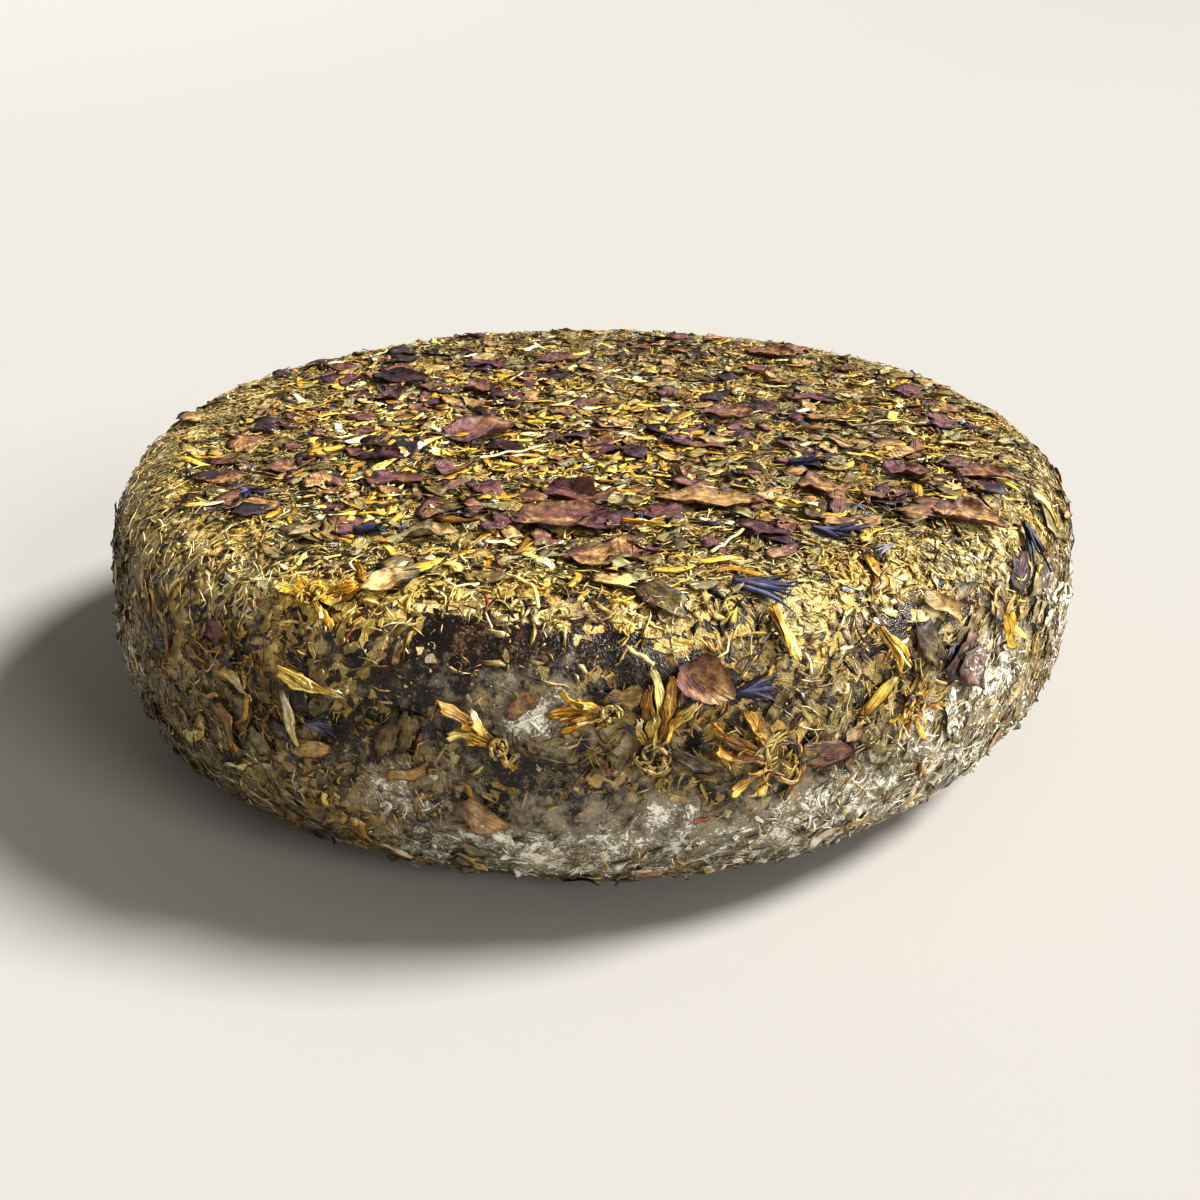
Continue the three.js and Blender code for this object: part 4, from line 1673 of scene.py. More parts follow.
def strap_grid(
    rng: Random, start: tuple[float, float], turn: float, long: float, wide: float, rest: float
) -> np.ndarray:
    """The upper side of one dried ray floret: gathered along, crumpled, twisted a little and frayed.

    Args:
        rng: where its chances come from.
        start: the place of its base, along and across, in millimetres.
        turn: the way it points from there, in radians.
        long: its length in millimetres.
        wide: its width in millimetres.
        rest: the height of its base in millimetres.

    Returns:
        A grid of positions in millimetres.
    """
    t = np.linspace(0, 1, 20)[:, None]
    w = np.linspace(-1, 1, 7)[None, :]
    half = 0.5 * wide * (0.35 + 0.65 * np.sin(math.pi * (0.06 + 0.74 * t)) ** 0.8)
    half = half * (1 + 0.2 * np.sin(9 * t + rng.uniform(0, 6)) + 0.14 * np.sin(23 * t + rng.uniform(0, 6)))
    frayed = 0.12 * long * t**8 * rng.uniform(-1, 0.4, w.shape)
    bend = rng.uniform(-0.9, 0.9) * wide * (2 * t - 1) ** 2 + 0.4 * wide * np.sin(4 * t + rng.uniform(0, 6))
    along, side = t * long + frayed, w * half + bend * t
    gather = 0.3 * np.cos(3.5 * math.pi * w + rng.uniform(0, 6))
    gather = gather * (0.4 + 0.6 * np.sin(3 * t + rng.uniform(0, 6)))
    twist = rng.uniform(0.3, 1.1) * w * np.sin(rng.uniform(2, 5) * t + rng.uniform(0, 6)) * half
    height = rest + gather + twist + 0.35 * creases(rng, along, side, 1.5, 4)
    height = height + 0.4 * (1 + np.sin(6 * t + rng.uniform(0, 6))) + rng.uniform(0.0, 1.4) * t**4
    height = height + rest - min(float(height.min()), rest)
    cos, sin = math.cos(turn), math.sin(turn)
    x = start[0] + along * cos - side * sin
    y = start[1] + along * sin + side * cos
    return np.stack([x, y, height], axis=-1)


@dataclass(frozen=True)
class FlowerHead:
    """A pressed marigold head: the size of its disc and its rays, as turn in degrees, length and width.

    turn is the way that the rays' turns are counted from, in degrees from outward and down.
    """

    turn: float
    disc: float
    rays: tuple[tuple[float, float, float], ...]


FLOWER_HEADS = (
    FlowerHead(-125, 5, ((0, 15, 2.6), (26, 10, 2.4), (-14, 9, 2.0), (150, 5, 2.0))),
    FlowerHead(-88, 4, ((-20, 11, 2.4), (-7, 13, 2.4), (6, 12, 2.2), (18, 11, 2.4), (60, 4, 1.6))),
    FlowerHead(180, 8, ((-32, 14, 2.6), (-18, 17, 3.2), (-6, 19, 2.6), (8, 15, 2.6), (24, 8, 2.0))),
    FlowerHead(-120, 12, ((0, 17, 3.0), (14, 13, 2.6), (-26, 13, 2.8), (56, 10, 2.6), (84, 7, 2.2))),
    FlowerHead(90, 6, ((180, 9, 2.8), (30, 9, 2.8), (-35, 9, 2.6), (150, 6, 2.2), (0, 6, 2.0))),
    FlowerHead(10, 6, ((-40, 9, 2.2), (10, 9, 2.2), (60, 9, 2.2), (-80, 6, 2.0), (120, 5, 2.0))),
)


def add_disc(posy: Posy, radius: float, rest: float, rng: Random, steps: int = 9, sides: int = 5) -> None:
    """Adds a dried flower disc: a low dark cup, with a nest of curled bracts round and in it.

    Args:
        posy: the bunch that it joins.
        radius: its radius in millimetres.
        rest: the height of its base in millimetres.
        rng: where its chances come from.
        steps: how many points each bract's path has.
        sides: how many sides a bract has.
    """
    x, y = disc_grid(steps + 2, steps + 2)
    reach = np.hypot(x, y)
    bowl = rest + 0.7 + 0.6 * np.exp(-(((reach - 0.72) / 0.2) ** 2)) - 0.5 * (1 - reach**2)
    upper = np.stack([0.9 * radius * x, 0.9 * radius * y, bowl - 0.8 * reach**6], axis=-1)
    posy.sheet(upper, 0.5, 0.12)
    grow = np.linspace(-1, 1, steps)
    for _ in range(int(1.1 * steps * radius / 2) + steps):
        ring = radius * rng.uniform(0.35, 1.08)
        a = np.linspace(0, rng.uniform(0.4, 1.4), steps) + rng.uniform(0, 6.3)
        wobble = 1 + 0.1 * np.sin(4 * a + rng.uniform(0, 6)) + rng.uniform(-0.3, 0.3) * grow
        lift = rest + 0.9 + 0.8 * math.exp(-(((ring / radius - 0.85) / 0.3) ** 2)) + rng.uniform(-0.3, 0.5)
        rise = lift + 0.3 * np.sin(2.5 * a + rng.uniform(0, 6))
        path = np.stack([ring * wobble * np.cos(a), ring * wobble * np.sin(a), rise], axis=1)
        radii = rng.uniform(0.25, 0.6) * (1 - 0.6 * grow**2)
        posy.strand(Strand(path, radii, 0.35), rng.uniform(0.05, 0.75), sides=sides)
    for _ in range(int(0.9 * steps * radius / 2) + steps // 2):
        a, t = rng.uniform(0, 6.3), np.linspace(rng.uniform(0, 0.4), rng.uniform(0.5, 0.95), 5)
        rise = rest + 0.9 + 0.8 * t * (1.3 - t) + rng.uniform(0, 0.4)
        bend = a + rng.uniform(-1.2, 1.2) * t
        path = np.stack([radius * t * np.cos(bend), radius * t * np.sin(bend), rise], axis=1)
        posy.strand(Strand(path, np.full(5, rng.uniform(0.12, 0.3)), 0.6), rng.uniform(0.0, 0.8), sides=3)


@dataclass(frozen=True)
class LargeFlowers:
    """The marigold heads and single florets, the cornflower florets and the straws.

    rest is how far they lie over the surface, ray_thick the thickness of a ray and widest_ray the width past
    which a single floret isn't drawn out, all in millimetres. lobes is how many a cornflower floret has.
    """

    surface: WheelSurface
    nodes: Frame
    rest: float = 0.5
    ray_thick: float = 0.22
    widest_ray: float = 3.6
    lobes: int = 10
    head_seeds = 300  # what the seeds of the heads are counted from
    floret_seeds = 400
    cornflower_seeds = 500
    straw_seeds = 600

    def build(self) -> None:
        """Makes every one in place of its CAD node."""
        for number, head in enumerate(FLOWER_HEADS, start=1):
            self._head(f"marigold_head_{number:02d}", head, number)
        makers = {
            "marigold_floret": self._floret,
            "cornflower_floret": self._cornflower,
            "straw": self._straw,
        }
        for name in sorted(self.nodes):
            kind = name.rsplit("_", 1)[0]
            if kind in makers:
                makers[kind](name)

    def _show(self, posy: Posy, lie: Lie, node: str, ending: str, finish: Finish) -> None:
        """Lays a bunch on the wheel and shows it for its CAD node.

        Args:
            posy: the bunch.
            lie: where it lies.
            node: the CAD node that it stands for.
            ending: what its name has after the node's.
            finish: what it is made of.
        """
        mesh = posy.lay(self.surface, lie, node)
        mesh.materials.append(finish.make())
        show(f"{node}_{ending}", mesh, (node,))

    def _head(self, node: str, head: FlowerHead, seed: int) -> None:
        """Makes one marigold head, its disc where its CAD node stands highest.

        Args:
            node: the CAD node's name.
            head: its disc and its rays.
            seed: which one it is.
        """
        rng = np.random.default_rng(self.head_seeds + seed)
        points = np.array([v.co[:] for v in self.nodes[node].data.vertices])
        base = self.surface.at(*self.surface.under(points))[0]
        peak = points[np.linalg.norm(points - base, axis=1).argmax()]
        azimuth, along = self.surface.under(peak[None])
        lie = Lie(azimuth[0], along[0], math.radians(head.turn), 1.0, 1.0)
        posy = Posy()
        for turn, long, wide in head.rays:
            for layer in range(3):
                way = math.radians(turn + rng.uniform(-9, 9) * min(layer, 1))
                start = (0.3 * head.disc * math.cos(way), 0.3 * head.disc * math.sin(way))
                reach = long * (1.0 if layer == 0 else rng.uniform(0.45, 0.9))
                across = wide * (0.8 if layer == 0 else rng.uniform(0.3, 0.6))
                upper = strap_grid(rng, start, way, reach, across, self.rest + 0.35 * layer)
                posy.sheet(upper, self.ray_thick, rng.uniform(0.05, 0.85))
        self._show(posy, lie, node, "rays", GOLD_RAY)
        disc = Posy()
        add_disc(disc, head.disc / 2, self.rest, rng)
        self._show(disc, lie, node, "disc", HERB)

    def _floret(self, node: str) -> None:
        """Makes a single ray floret of two or three overlapping straps.

        Args:
            node: the CAD node's name.
        """
        lie = self.surface.lie_of(self.nodes[node])
        rng = np.random.default_rng(self.floret_seeds + int(node[-2:]))
        posy = Posy()
        for k in range(3):
            start = (-lie.long / 2, (k - 1) * 0.18 * lie.wide)
            wide = min(lie.wide, self.widest_ray) * (0.85 if k == 0 else rng.uniform(0.35, 0.6))
            long = lie.long * (1.0 if k == 0 else rng.uniform(0.6, 0.95))
            upper = strap_grid(rng, start, rng.uniform(-0.1, 0.1), long, wide, self.rest + 0.3 * k)
            posy.sheet(upper, self.ray_thick, rng.uniform(0.35, 0.95))
        self._show(posy, lie, node, "strap", GOLD_RAY)

    def _cornflower(self, node: str) -> None:
        """Makes a cornflower floret: a tube that splits into long pointed lobes.

        Args:
            node: the CAD node's name.
        """
        found = self.surface.lie_of(self.nodes[node])
        lie = Lie(found.azimuth, found.along, found.turn + math.pi, found.long, found.wide)
        rng = np.random.default_rng(self.cornflower_seeds + int(node[-2:]))
        posy = Posy()
        for k in range(self.lobes):
            fan = (k - (self.lobes - 1) / 2) / (self.lobes - 1) + rng.uniform(-0.06, 0.06)
            aim = fan * 1.5 * lie.wide / lie.long * rng.uniform(0.8, 1.2)
            long = lie.long * rng.uniform(0.5, 1.0)
            start = (-lie.long / 2, 0.12 * lie.wide * fan)
            t = np.linspace(0, 1, 16)[:, None]
            w = np.linspace(-1, 1, 5)[None, :]
            half = lie.wide * rng.uniform(0.045, 0.09) * (0.7 + 1.1 * np.sin(math.pi * t**0.8)) * (1 - t**5)
            side = w * half + aim * long * t**2 + 0.2 * np.sin(6 * t + rng.uniform(0, 6))
            height = self.rest + rng.uniform(0, 0.8) + 0.5 * (1 - w**2) + rng.uniform(0, 1.8) * t**2
            x, y = start[0] + t * long * np.cos(0.5 * aim) + 0 * w, start[1] + side
            posy.sheet(np.stack([x, y, height + 0 * w], axis=-1), 0.28, rng.uniform(0.0, 0.7))
        self._show(posy, lie, node, "lobes", BLUE_RAY)

    def _straw(self, node: str) -> None:
        """Makes a straw that follows its CAD node's bow, flattened.

        Args:
            node: the CAD node's name.
        """
        lie = self.surface.lie_of(self.nodes[node])
        rng = np.random.default_rng(self.straw_seeds + int(node[-2:]))
        bow = 0.0 if lie.wide < 2 else lie.wide - 1.4
        t = np.linspace(-0.5, 0.5, 26)
        side = bow * (0.5 - 4 * t**2 * 0.5) * 2 - bow / 2 + 0.18 * np.sin(9 * t + rng.uniform(0, 6))
        rise = self.rest + 0.75 + 0.35 * np.sin(7 * t + rng.uniform(0, 6)) + 0.25 * np.sin(17 * t)
        path = np.stack([t * lie.long, side, rise], axis=1)
        radius = 0.55 * (1 - 0.25 * np.sin(12 * t + rng.uniform(0, 6)) ** 2)
        posy = Posy()
        posy.strand(Strand(path, radius, 0.65), rng.uniform(0.8, 1.0), sides=6)
        self._show(posy, lie, node, "stalk", HAY)


# ---- Strewing ----


@dataclass(frozen=True)
class CalyxShape(SmallShape):
    """A small flower disc: a dark cup in a nest of curled bracts."""

    variants: int = 6
    radius: float = 2.6

    def one(self, rng: Random, number: int) -> Mesh:
        """Makes one disc.

        Args:
            rng: where its chances come from.
            number: which variant it is.

        Returns:
            The mesh.
        """
        posy = Posy()
        add_disc(posy, self.radius, 0.0, rng, steps=5, sides=3)
        vertices = np.concatenate(posy.vertices) / (2 * self.radius, 2 * self.radius, 1)
        mesh = mesh_from(f"calyx_{number}", vertices, posy.faces)
        lay_map(mesh, np.concatenate(posy.places))
        return mesh


@dataclass(frozen=True)
class Strewing:
    """One kind of small dried piece, strewn over the wheel.

    per_cm2 is how many lie on a square centimetre where its cover is full. length is the range of lengths,
    thick the thickness and lift the range of heights over the bed, all in millimetres. width is the range of
    widths as a share of the length. tilt is how far a piece leans and spin how far it turns from lying round
    the wheel, in degrees. bias is how much commoner the short ones are, and sectors how many pieces it's
    split into round the wheel.
    """

    name: str
    shape: SmallShape
    finish: PlantFinish
    slot: str
    cover: str
    per_cm2: float
    length: Range
    width: Range
    thick: float
    lift: Range
    seed: int
    tilt: float = 5.0
    spin: float = 180.0
    bias: float = 1.6
    sectors: int = 1


class StrewTree:
    """The Geometry Nodes tree that strews shapes over a bed and presses them onto it."""

    inputs = {
        "Cover": "String",
        "Shapes": "Collection",
        "Finish": "Material",
        "Pieces per square metre": "Float",
        "Shortest": "Float",
        "Longest": "Float",
        "Length bias": "Float",
        "Narrowest share": "Float",
        "Widest share": "Float",
        "Thickness": "Float",
        "Lowest": "Float",
        "Highest": "Float",
        "Tilt": "Float",
        "Spin": "Float",
        "Seed": "Int",
    }
    scratch = ("seat", "out", "grain", "cover_*")  # the attributes that only the tree reads
    seeds_apart = 31.0  # how far the seeds of one kind's draws lie from the next kind's

    def __init__(self) -> None:
        """Builds the tree."""
        tree = bpy.data.node_groups.new("strewn_crust", "GeometryNodeTree")
        self.tree = tree
        tree.interface.new_socket("Bed", in_out="INPUT", socket_type="NodeSocketGeometry")
        self.sockets = {
            name: tree.interface.new_socket(name, in_out="INPUT", socket_type=f"NodeSocket{kind}").identifier
            for name, kind in self.inputs.items()
        }
        tree.interface.new_socket("Crust", in_out="OUTPUT", socket_type="NodeSocketGeometry")
        self.given = given = add(tree, "NodeGroupInput").outputs
        self.out = add(tree, STORED_VECTOR, "out")
        self.here = add(tree, "GeometryNodeInputPosition")
        pieces = {
            "Points": self._points(),
            "Instance": add(tree, "GeometryNodeCollectionInfo", given["Shapes"], True, True),
            "Pick Instance": True,
            "Instance Index": self._random(3, 0.0, 1000.0),
            "Rotation": self._turned(),
            "Scale": self._sized(),
        }
        pieces = add(tree, "GeometryNodeInstanceOnPoints", pieces)
        pressed = self._pressed(add(tree, "GeometryNodeRealizeInstances", pieces))
        for name in self.scratch:
            mode = "WILDCARD" if "*" in name else "EXACT"
            pressed = add(tree, "GeometryNodeRemoveAttribute", pressed, name, pattern_mode=mode)
        dressed = {"Geometry": pressed, "Material": given["Finish"]}
        add(tree, "NodeGroupOutput", add(tree, "GeometryNodeSetMaterial", dressed))

    def _points(self) -> Node:
        """Strews the points over the bed, each with its seat, its tint and its height.

        Returns:
            The node that holds them.
        """
        tree, given = self.tree, self.given
        cover = add(tree, STORED, given["Cover"])
        density = add(tree, TIMES, cover, given["Pieces per square metre"])
        points = {"Mesh": given["Bed"], "Density": density, "Seed": given["Seed"]}
        points = add(tree, "GeometryNodeDistributePointsOnFaces", points, distribute_method="RANDOM")
        tint = self._random(1, 0.0, 1.0)
        for name, kind, value in (("seat", "FLOAT_VECTOR", self.here), ("tint", "FLOAT", tint)):
            points = {"Geometry": points, "Name": name, "Value": value}
            points = add(tree, "GeometryNodeStoreNamedAttribute", points, data_type=kind, domain="POINT")
        lift = self._random(2, given["Lowest"], given["Highest"])
        raised = add(tree, SCALED, self.out, lift)
        return add(tree, SET_POSITION, {"Geometry": points, "Offset": raised})

    def _random(self, step: int, low: Socket | float, high: Socket | float) -> Node:
        """A random number for each point.

        Args:
            step: which draw this is, so that no two draws agree.
            low: the lowest value.
            high: the highest value.

        Returns:
            The node that holds the number.
        """
        tree = self.tree
        draw = add(tree, TIMES_PLUS, self.given["Seed"], self.seeds_apart, float(step))
        share = add(tree, "FunctionNodeRandomValue", 0.0, 1.0, None, draw, data_type="FLOAT")
        span = add(tree, MINUS, high, low)
        return add(tree, TIMES_PLUS, share, span, low)

    def _turned(self) -> Node:
        """How each piece is turned: flat on the bed, along its grain, then leant and spun at random.

        Returns:
            The node that holds its rotation.
        """
        tree, given = self.tree, self.given
        align = "FunctionNodeAlignRotationToVector"
        grain = add(tree, STORED_VECTOR, "grain")
        flat = add(tree, align, {"Vector": self.out}, axis="Z")
        lined = add(tree, align, {"Rotation": flat, "Vector": grain}, axis="X", pivot_axis="Z")
        swings = []
        for step, name in enumerate(("Tilt", "Tilt", "Spin"), start=4):
            least = add(tree, TIMES, given[name], -1.0)
            swings.append(self._random(step, least, given[name]))
        swing = add(tree, "FunctionNodeEulerToRotation", add(tree, JOIN, *swings))
        return add(tree, "FunctionNodeRotateRotation", lined, swing, rotation_space="LOCAL")

    def _sized(self) -> Node:
        """Each piece's length, width and thickness.

        Returns:
            The node that holds them.
        """
        tree, given = self.tree, self.given
        share = add(tree, POWER, self._random(8, 0.0, 1.0), given["Length bias"])
        span = add(tree, MINUS, given["Longest"], given["Shortest"])
        length = add(tree, TIMES_PLUS, share, span, given["Shortest"])
        wide = self._random(9, given["Narrowest share"], given["Widest share"])
        width = add(tree, TIMES, length, wide)
        return add(tree, JOIN, length, width, given["Thickness"])

    def _pressed(self, real: Node) -> Node:
        """Bends the pieces onto the bed, keeping each corner's height over it, and clear of the table.

        Args:
            real: the pieces, as real geometry.

        Returns:
            The node that holds them in their places.
        """
        tree, bed = self.tree, self.given["Bed"]
        seat = add(tree, STORED_VECTOR, "seat")
        raised = add(tree, VECTORS_MINUS, self.here, seat)
        height = add(tree, DOT, raised, self.out)
        found = []
        for value in (self.here, self.out):
            nearest = {"Mesh": bed, "Value": value, "Sample Position": self.here}
            found.append(add(tree, "GeometryNodeSampleNearestSurface", nearest, data_type="FLOAT_VECTOR"))
        normal = add(tree, NORMALIZED, found[1])
        lifted = add(tree, SCALED, normal, height)
        placed = add(tree, VECTORS_PLUS, found[0], lifted)
        x, y, z = add(tree, SPLIT, placed).outputs
        clear = add(tree, LARGER, z, TABLE_GAP)
        return add(tree, SET_POSITION, {"Geometry": real, "Position": add(tree, JOIN, x, y, clear)})


@dataclass(frozen=True)
class WheelGrid:
    """A closed grid over the whole wheel, just under its surface, with the crust's swells in it.

    columns is how many steps run round it and rows how many from the middle of the top to the middle of the
    underside. depth is how far under the surface it lies, in millimetres.
    """

    columns: int
    rows: int
    depth: float = 0.9
    table_gap = 0.1 * MM

    def lay(self, surface: WheelSurface, lies: list[Lie]) -> tuple[np.ndarray, list, np.ndarray, Crust]:
        """Lays the grid under the wheel's surface, still without its swells.

        Args:
            surface: the wheel's surface.
            lies: where the larger pieces lie.

        Returns:
            Vertices in metres, faces, each vertex's normal and the crust there.
        """
        azimuth = np.linspace(-math.pi, math.pi, self.columns, endpoint=False)
        along = np.linspace(0, surface.length, self.rows + 1)[1:-1]
        a, s = [grid.ravel() for grid in np.meshgrid(azimuth, along, indexing="ij")]
        a = np.append(a, (0.0, 0.0))
        s = np.append(s, (0.0, surface.length))
        points, normals = surface.at(a, s)
        vertices = points - normals * self.depth * MM
        inner = self.rows - 1
        top, base = self.columns * inner, self.columns * inner + 1
        faces = []
        for i in range(self.columns):
            here, after = i * inner, ((i + 1) % self.columns) * inner
            faces.append((top, here, after))
            faces.append((base, after + inner - 1, here + inner - 1))
            for j in range(inner - 1):
                faces.append((here + j, here + j + 1, after + j + 1, after + j))
        return vertices, faces, normals, Crust(a, s, vertices, lies)

    def swollen(self, vertices: np.ndarray, normals: np.ndarray, swell: np.ndarray) -> np.ndarray:
        """Swells a grid outwards, and keeps it over the table.

        Args:
            vertices: positions in metres.
            normals: the outward normal of each.
            swell: how far each goes out, in millimetres.

        Returns:
            The new positions.
        """
        vertices = vertices + normals * (swell * MM)[:, None]
        vertices[:, 2] = np.maximum(vertices[:, 2], self.table_gap)
        return vertices


class StrewnCrust:
    """The small dried pieces of the crust, strewn over a bed that lies just under the wheel's surface."""

    bed = WheelGrid(columns=260, rows=240)
    quick_share = 0.35
    seeds_apart = 17  # how far the seeds of one kind's sectors lie from the next kind's

    def __init__(self, surface: WheelSurface, lies: list[Lie]) -> None:
        """Makes the bed, with its covers, and the tree.

        Args:
            surface: the wheel's surface.
            lies: where the larger pieces lie.
        """
        self.tree = StrewTree()
        vertices, faces, normals, self.crust = self.bed.lay(surface, lies)
        vertices = self.bed.swollen(vertices, normals, self.crust.relief(vertices))
        self.mesh = mesh_from("bed", vertices, faces)
        self.azimuth = azimuth = self.crust.azimuth
        grain = np.stack([-np.sin(azimuth), np.cos(azimuth), 0 * azimuth], axis=1)
        # The bed stores its soak, which is partly damp and partly painted shade, for the pieces strewn on it.
        store(self.mesh, out=normals, grain=grain, mould=self.crust.mould, soak=self.crust.soak)

    def strew(self, kind: Strewing) -> None:
        """Strews one kind of piece, in as many sectors of the wheel as it says.

        Args:
            kind: the kind.
        """
        shapes = bpy.data.collections.new("shapes")
        for mesh in kind.shape.meshes(np.random.default_rng(kind.seed)):
            shapes.objects.link(bpy.data.objects.new(mesh.name, mesh))
        material = kind.finish.make()
        for sector in range(kind.sectors):
            part = np.floor((self.azimuth / TURN + 0.5) * kind.sectors) == sector
            name = kind.name if kind.sectors == 1 else f"{kind.name}_{sector + 1}"
            cover = np.clip(self.crust.covers[kind.cover], 0, None) * part
            values = self._values(kind, sector) | {"Shapes": shapes, "Finish": material}
            show(name, self._strewn(name, f"cover_{kind.cover}", cover, values))
        for shape in list(shapes.objects):
            data = shape.data
            bpy.data.objects.remove(shape)
            bpy.data.meshes.remove(data)
        bpy.data.collections.remove(shapes)

    def _values(self, kind: Strewing, sector: int) -> dict[str, float]:
        """The numbers that go into the tree.

        Args:
            kind: the kind of piece.
            sector: which sector of the wheel.

        Returns:
            Each number by its input's name.
        """
        return {
            "Pieces per square metre": kind.per_cm2 * CM2_IN_M2 * 1.0,
            "Shortest": kind.length[0] * MM,
            "Longest": kind.length[1] * MM,
            "Length bias": kind.bias,
            "Narrowest share": kind.width[0],
            "Widest share": kind.width[1],
            "Thickness": kind.thick * MM,
            "Lowest": kind.lift[0] * MM,
            "Highest": kind.lift[1] * MM,
            "Tilt": math.radians(kind.tilt),
            "Spin": math.radians(kind.spin),
            "Seed": kind.seed * self.seeds_apart + sector,
        }

    def _strewn(self, name: str, attribute: str, cover: np.ndarray, values: dict[str, object]) -> Mesh:
        """Strews one kind over one sector.

        Args:
            name: the piece's name.
            attribute: the name of the cover.
            cover: how thickly it lies at each place of the bed.
            values: what goes into the tree, by the input's name.

        Returns:
            The strewn pieces as a plain mesh.
        """
        mesh = self.mesh.copy()
        store(mesh, **{attribute: cover})
        bed = bpy.data.objects.new("bed", mesh)
        bpy.context.scene.collection.objects.link(bed)
        modifier = bed.modifiers.new("strew", "NODES")
        modifier.node_group = self.tree.tree
        for key, value in values.items():
            modifier[self.tree.sockets[key]] = value
        modifier[self.tree.sockets["Cover"]] = attribute
        graph = bpy.context.evaluated_depsgraph_get()
        evaluated = bed.evaluated_get(graph)
        made = bpy.data.meshes.new_from_object(evaluated, preserve_all_data_layers=True, depsgraph=graph)
        bpy.data.objects.remove(bed)
        bpy.data.meshes.remove(mesh)
        made.name = name
        return made


STREWINGS = (
    Strewing(
        "herb_crumbs", CrumbShape(), HERB, "rind", "crumb", per_cm2=40, length=(1.6, 9.0), width=(0.12, 0.42),
        thick=0.18, lift=(0.0, 0.8), bias=1.9, seed=11, sectors=6,
    ),
    Strewing(
        "herb_fibres", StemShape(bow=0.3, kink=1.6), HERB, "rind", "crumb", per_cm2=15, length=(2.5, 9.0),
        width=(0.04, 0.12), thick=0.24, lift=(0.4, 1.0), seed=21, sectors=2,
    ),
    Strewing(
        "hay", StemShape(), HAY, "straw", "hay", per_cm2=11, length=(2.5, 11.0), width=(0.03, 0.075),
        thick=0.26, lift=(0.4, 0.9), bias=2.0, seed=12, sectors=2,
    ),
    Strewing(
        "leaf_scraps", ScrapShape(ragged=0.3, pointed=0.3), LEAF, "dried_leaf", "leaf", per_cm2=2.6,
        length=(3.5, 15.0), width=(0.35, 0.7), thick=0.22, lift=(0.5, 1.2), seed=13,
    ),
    Strewing(
        "marigold_florets", StrapShape(), GOLD_RAY, "marigold", "gold", per_cm2=4.4, length=(4.0, 15.0),
        width=(0.14, 0.4), thick=0.14, lift=(0.5, 1.2), tilt=4, seed=14, sectors=2,
    ),
    Strewing(
        "rose_scraps", ScrapShape(ragged=0.34), ROSE_PETAL, "rose_petal", "rose", per_cm2=1.2,
        length=(4.5, 18.0), width=(0.4, 0.85), thick=0.24, lift=(0.9, 1.6), seed=15,
    ),
    Strewing(
        "cornflower_scraps", LobeShape(), BLUE_RAY, "cornflower", "blue", per_cm2=1.5, length=(4.0, 10.0),
        width=(0.3, 0.7), thick=0.24, lift=(0.6, 1.2), tilt=4, seed=16,
    ),
    Strewing(
        "calyx_discs", CalyxShape(), HERB, "dried_leaf", "calyx", per_cm2=0.07, length=(3.5, 7.5),
        width=(0.75, 1.0), thick=0.7, lift=(0.3, 0.7), seed=20,
    ),
    Strewing(
        "safflower_threads", StemShape(bow=0.2, kink=1.6), THREAD, "marigold", "thread", per_cm2=0.9,
        length=(3.0, 8.0), width=(0.08, 0.16), thick=0.34, lift=(0.6, 1.2), seed=17,
    ),
    Strewing(
        "safflower_florets", StrapShape(variants=6), THREAD, "marigold", "thread", per_cm2=0.16,
        length=(2.5, 6.0), width=(0.14, 0.3), thick=0.12, lift=(0.7, 1.3), tilt=4, seed=22,
    ),
    Strewing(
        "husk_chips", CrumbShape(corners=5, variants=8), CHIP, "straw", "chip", per_cm2=0.9,
        length=(1.5, 5.0), width=(0.3, 0.8), thick=0.22, lift=(0.6, 1.2), tilt=8, seed=18,
    ),
    Strewing(
        "herb_dust", CrumbShape(corners=5, variants=8), HERB, "rind", "dust", per_cm2=12, length=(0.5, 2.0),
        width=(0.3, 0.8), thick=0.22, lift=(0.05, 0.4), tilt=15, seed=23,
    ),
    Strewing(
        "mould_grains", CrumbShape(corners=5, variants=6), FLUFF, "rind", "fluff", per_cm2=4,
        length=(0.6, 2.2), width=(0.5, 1.0), thick=0.28, lift=(0.1, 0.7), tilt=25, seed=19,
    ),
)


# ---- The rind ----


@dataclass(frozen=True)
class Rind:
    """The rind of the wheel, a little under its CAD surface so that the crust fills it out.

    grit is how rough it is, in millimetres, in grains of grit_size.
    """

    grid: WheelGrid = WheelGrid(columns=420, rows=230)
    grit: float = 0.18
    grit_size: float = 2.4

    def build(self, surface: WheelSurface, lies: list[Lie]) -> None:
        """Makes the rind's mesh, ripples it and shows it in place of the CAD wheel.

        Args:
            surface: the wheel's surface.
            lies: where the larger pieces lie.
        """
        vertices, faces, normals, crust = self.grid.lay(surface, lies)
        swell = crust.relief(vertices) + self.grit * cloud(vertices, self.grit_size, 6)
        mesh = mesh_from("rind", self.grid.swollen(vertices, normals, swell), faces)
        # The rind stores its soak, partly painted shade, and its cream patches, partly painted highlight.
        store(mesh, mould=crust.mould, rubbed=crust.patches(RUBBED_AND_HIGHLIT), pulp=crust.pulp, soak=crust.soak)
        mesh.materials.append(RindFinish().make())
        show("rind", mesh, (CAD_WHEEL,))


# ---- The stage ----


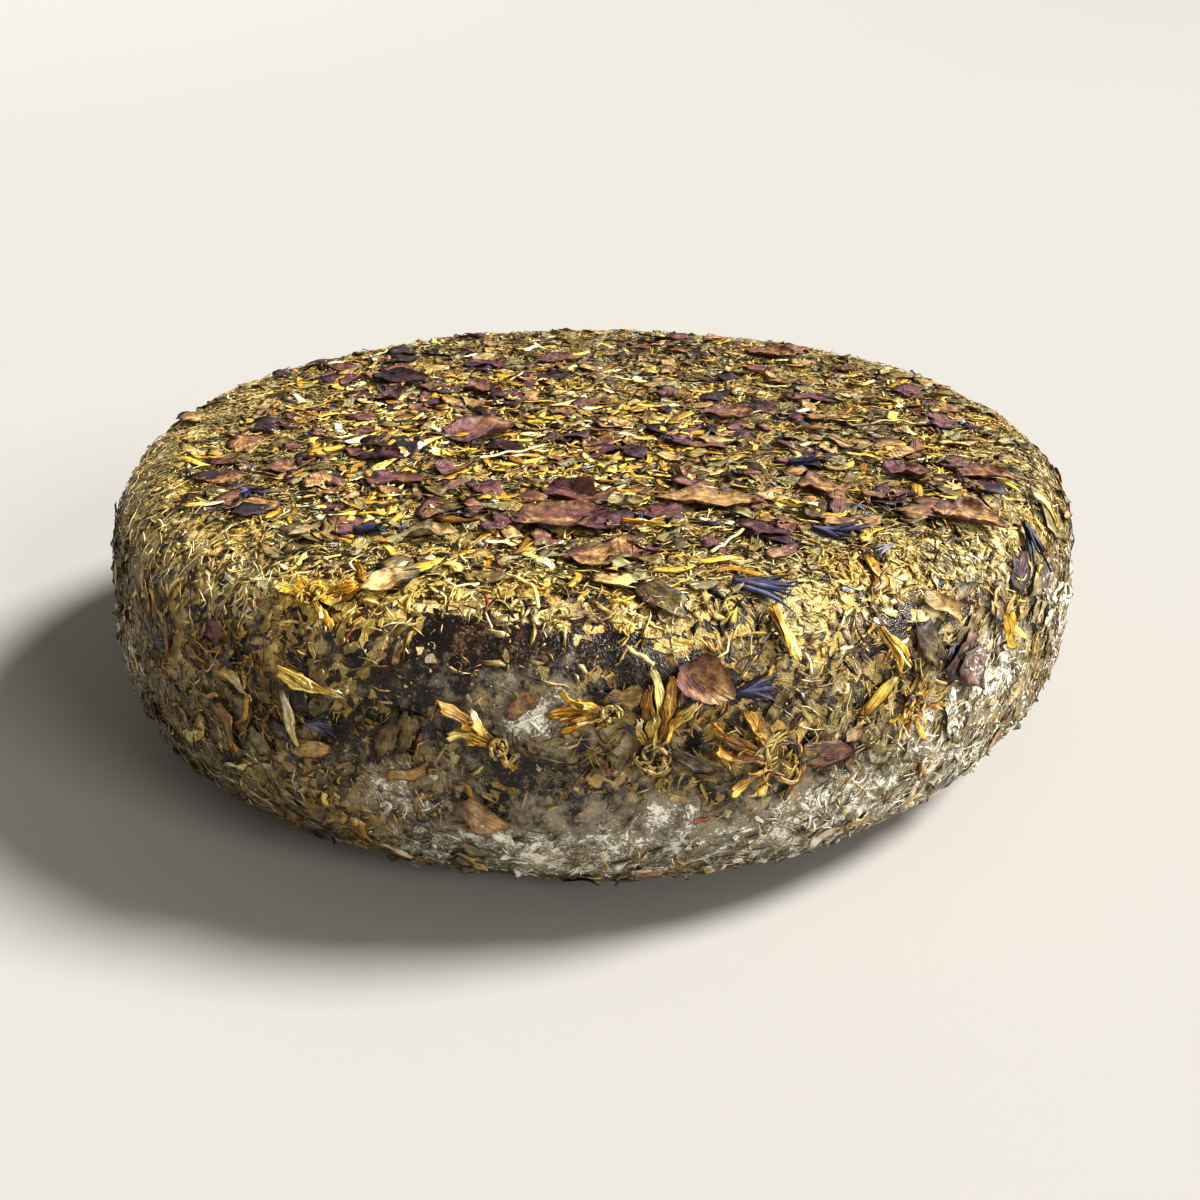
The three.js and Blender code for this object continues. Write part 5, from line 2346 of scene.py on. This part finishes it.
@dataclass(frozen=True)
class Studio:
    """A plain pale floor, soft light from one side and a little behind, a weaker fill, and the camera.

    lens and sensor are in millimetres, distance and aim in metres. A light is the way that it comes from, its
    strength and its spread in degrees.
    """

    lens: float = 34.0
    sensor: float = 36.0
    distance: float = 0.391
    elevation: float = 22.5
    aim: tuple[float, float, float] = (0.0024, 0.0, 0.0184)
    key: tuple[tuple[float, float, float], float, float] = ((0.7, 0.1, 0.72), 7.3, 16.0)
    fill: tuple[tuple[float, float, float], float, float] = ((0.85, -0.72, 0.38), 2.7, 24.0)
    sky: str = "eeece8"
    sky_strength: float = 0.33
    paint: str = "9d9a94"
    floor_corners: int = 96
    floor_reach: int = 24  # how far the floor goes beyond its flat middle, in metres
    floor_rise: float = 0.012  # how fast it sweeps up there
    floor_middle: float = 1.0  # the radius of its flat middle in metres

    def build(self, low: Vector, high: Vector) -> None:
        """Makes the floor, the lights and the camera.

        Args:
            low: the lowest corner of the CAD model's box.
            high: its highest corner.
        """
        scene = bpy.context.scene
        self._floor()
        self._sun("key", *self.key)
        self._sun("fill", *self.fill)
        scene.world = bpy.data.worlds.new("studio")
        scene.world.use_nodes = True
        sky = scene.world.node_tree.nodes["Background"].inputs
        sky["Color"].default_value = linear(self.sky)
        sky["Strength"].default_value = self.sky_strength
        middle = Vector((0, 0, (low.z + high.z) / 2))
        tilt = math.radians(self.elevation)
        camera = bpy.data.objects.new("camera", bpy.data.cameras.new("camera"))
        camera.data.lens, camera.data.sensor_width = self.lens, self.sensor
        camera.data.clip_start = 0.01
        camera.location = middle + Vector((0, -math.cos(tilt), math.sin(tilt))) * self.distance
        camera.rotation_euler = (Vector(self.aim) - camera.location).to_track_quat("-Z", "Y").to_euler()
        scene.collection.objects.link(camera)
        scene.camera = camera
        scene.view_settings.view_transform = "Standard"
        scene.view_settings.look = "Medium High Contrast"

    def _floor(self) -> None:
        """Makes the floor: a disc that sweeps up all round into a low wall, painted a matt warm grey."""
        steps = self.floor_corners
        turn = np.linspace(0, TURN, steps, endpoint=False)
        reaches = np.linspace(0, self.floor_reach, self.floor_reach + 1)
        profile = [(self.floor_middle + reach, self.floor_rise * reach**2) for reach in reaches]
        round_it = np.stack([np.cos(turn), np.sin(turn), np.ones(steps)], axis=1)
        rings = [round_it * (radius, radius, height) for radius, height in profile]
        faces = [tuple(range(steps))]
        for low in range(0, (len(profile) - 1) * steps, steps):
            for here in range(steps):
                after = (here + 1) % steps
                faces.append((low + after, low + here, low + steps + here, low + steps + after))
        mesh = mesh_from("floor", np.concatenate(rings), faces)
        material = bpy.data.materials.new("Painted studio floor, matt")
        material.use_nodes = True
        skin = material.node_tree.nodes["Principled BSDF"].inputs
        skin["Base Color"].default_value = linear(self.paint)
        skin["Roughness"].default_value = 0.9
        skin["Specular IOR Level"].default_value = 0.1
        mesh.materials.append(material)
        floor = bpy.data.objects.new("floor", mesh)
        bpy.context.scene.collection.objects.link(floor)
        floor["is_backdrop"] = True

    def _sun(self, name: str, way: tuple[float, float, float], strength: float, spread: float) -> None:
        """Adds a far soft light.

        Args:
            name: its name.
            way: the way that it comes from.
            strength: how strong it is.
            spread: how many degrees it spreads over.
        """
        lamp = bpy.data.lights.new(name, "SUN")
        lamp.energy, lamp.angle = strength, math.radians(spread)
        light = bpy.data.objects.new(name, lamp)
        light.rotation_euler = Vector(way).to_track_quat("Z", "Y").to_euler()
        bpy.context.scene.collection.objects.link(light)


def main() -> None:
    """Builds the wheel, its crust and the stage."""
    logging.basicConfig(level=logging.INFO, format="%(name)s: %(message)s")
    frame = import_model()
    cad_box = [list(corner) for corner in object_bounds()]
    nodes = frame["nodes"]
    surface = WheelSurface(nodes[CAD_WHEEL])
    log.info("section length %.1f mm", surface.length)
    lies = [surface.lie_of(node) for name, node in nodes.items() if name != CAD_WHEEL]
    Rind().build(surface, lies)
    LargePetals("rose_petal", "petal", "rose_petal", ROSE_PETAL, ROSE_PETALS).build(surface, nodes)
    LargePetals("leaf", "blade", "dried_leaf", LEAF, LEAVES).build(surface, nodes)
    LargeFlowers(surface, nodes).build()
    crust = StrewnCrust(surface, lies)
    for kind in STREWINGS:
        crust.strew(kind)
    Studio().build(*[Vector(corner) for corner in cad_box])


if __name__ == "__main__":
    main()
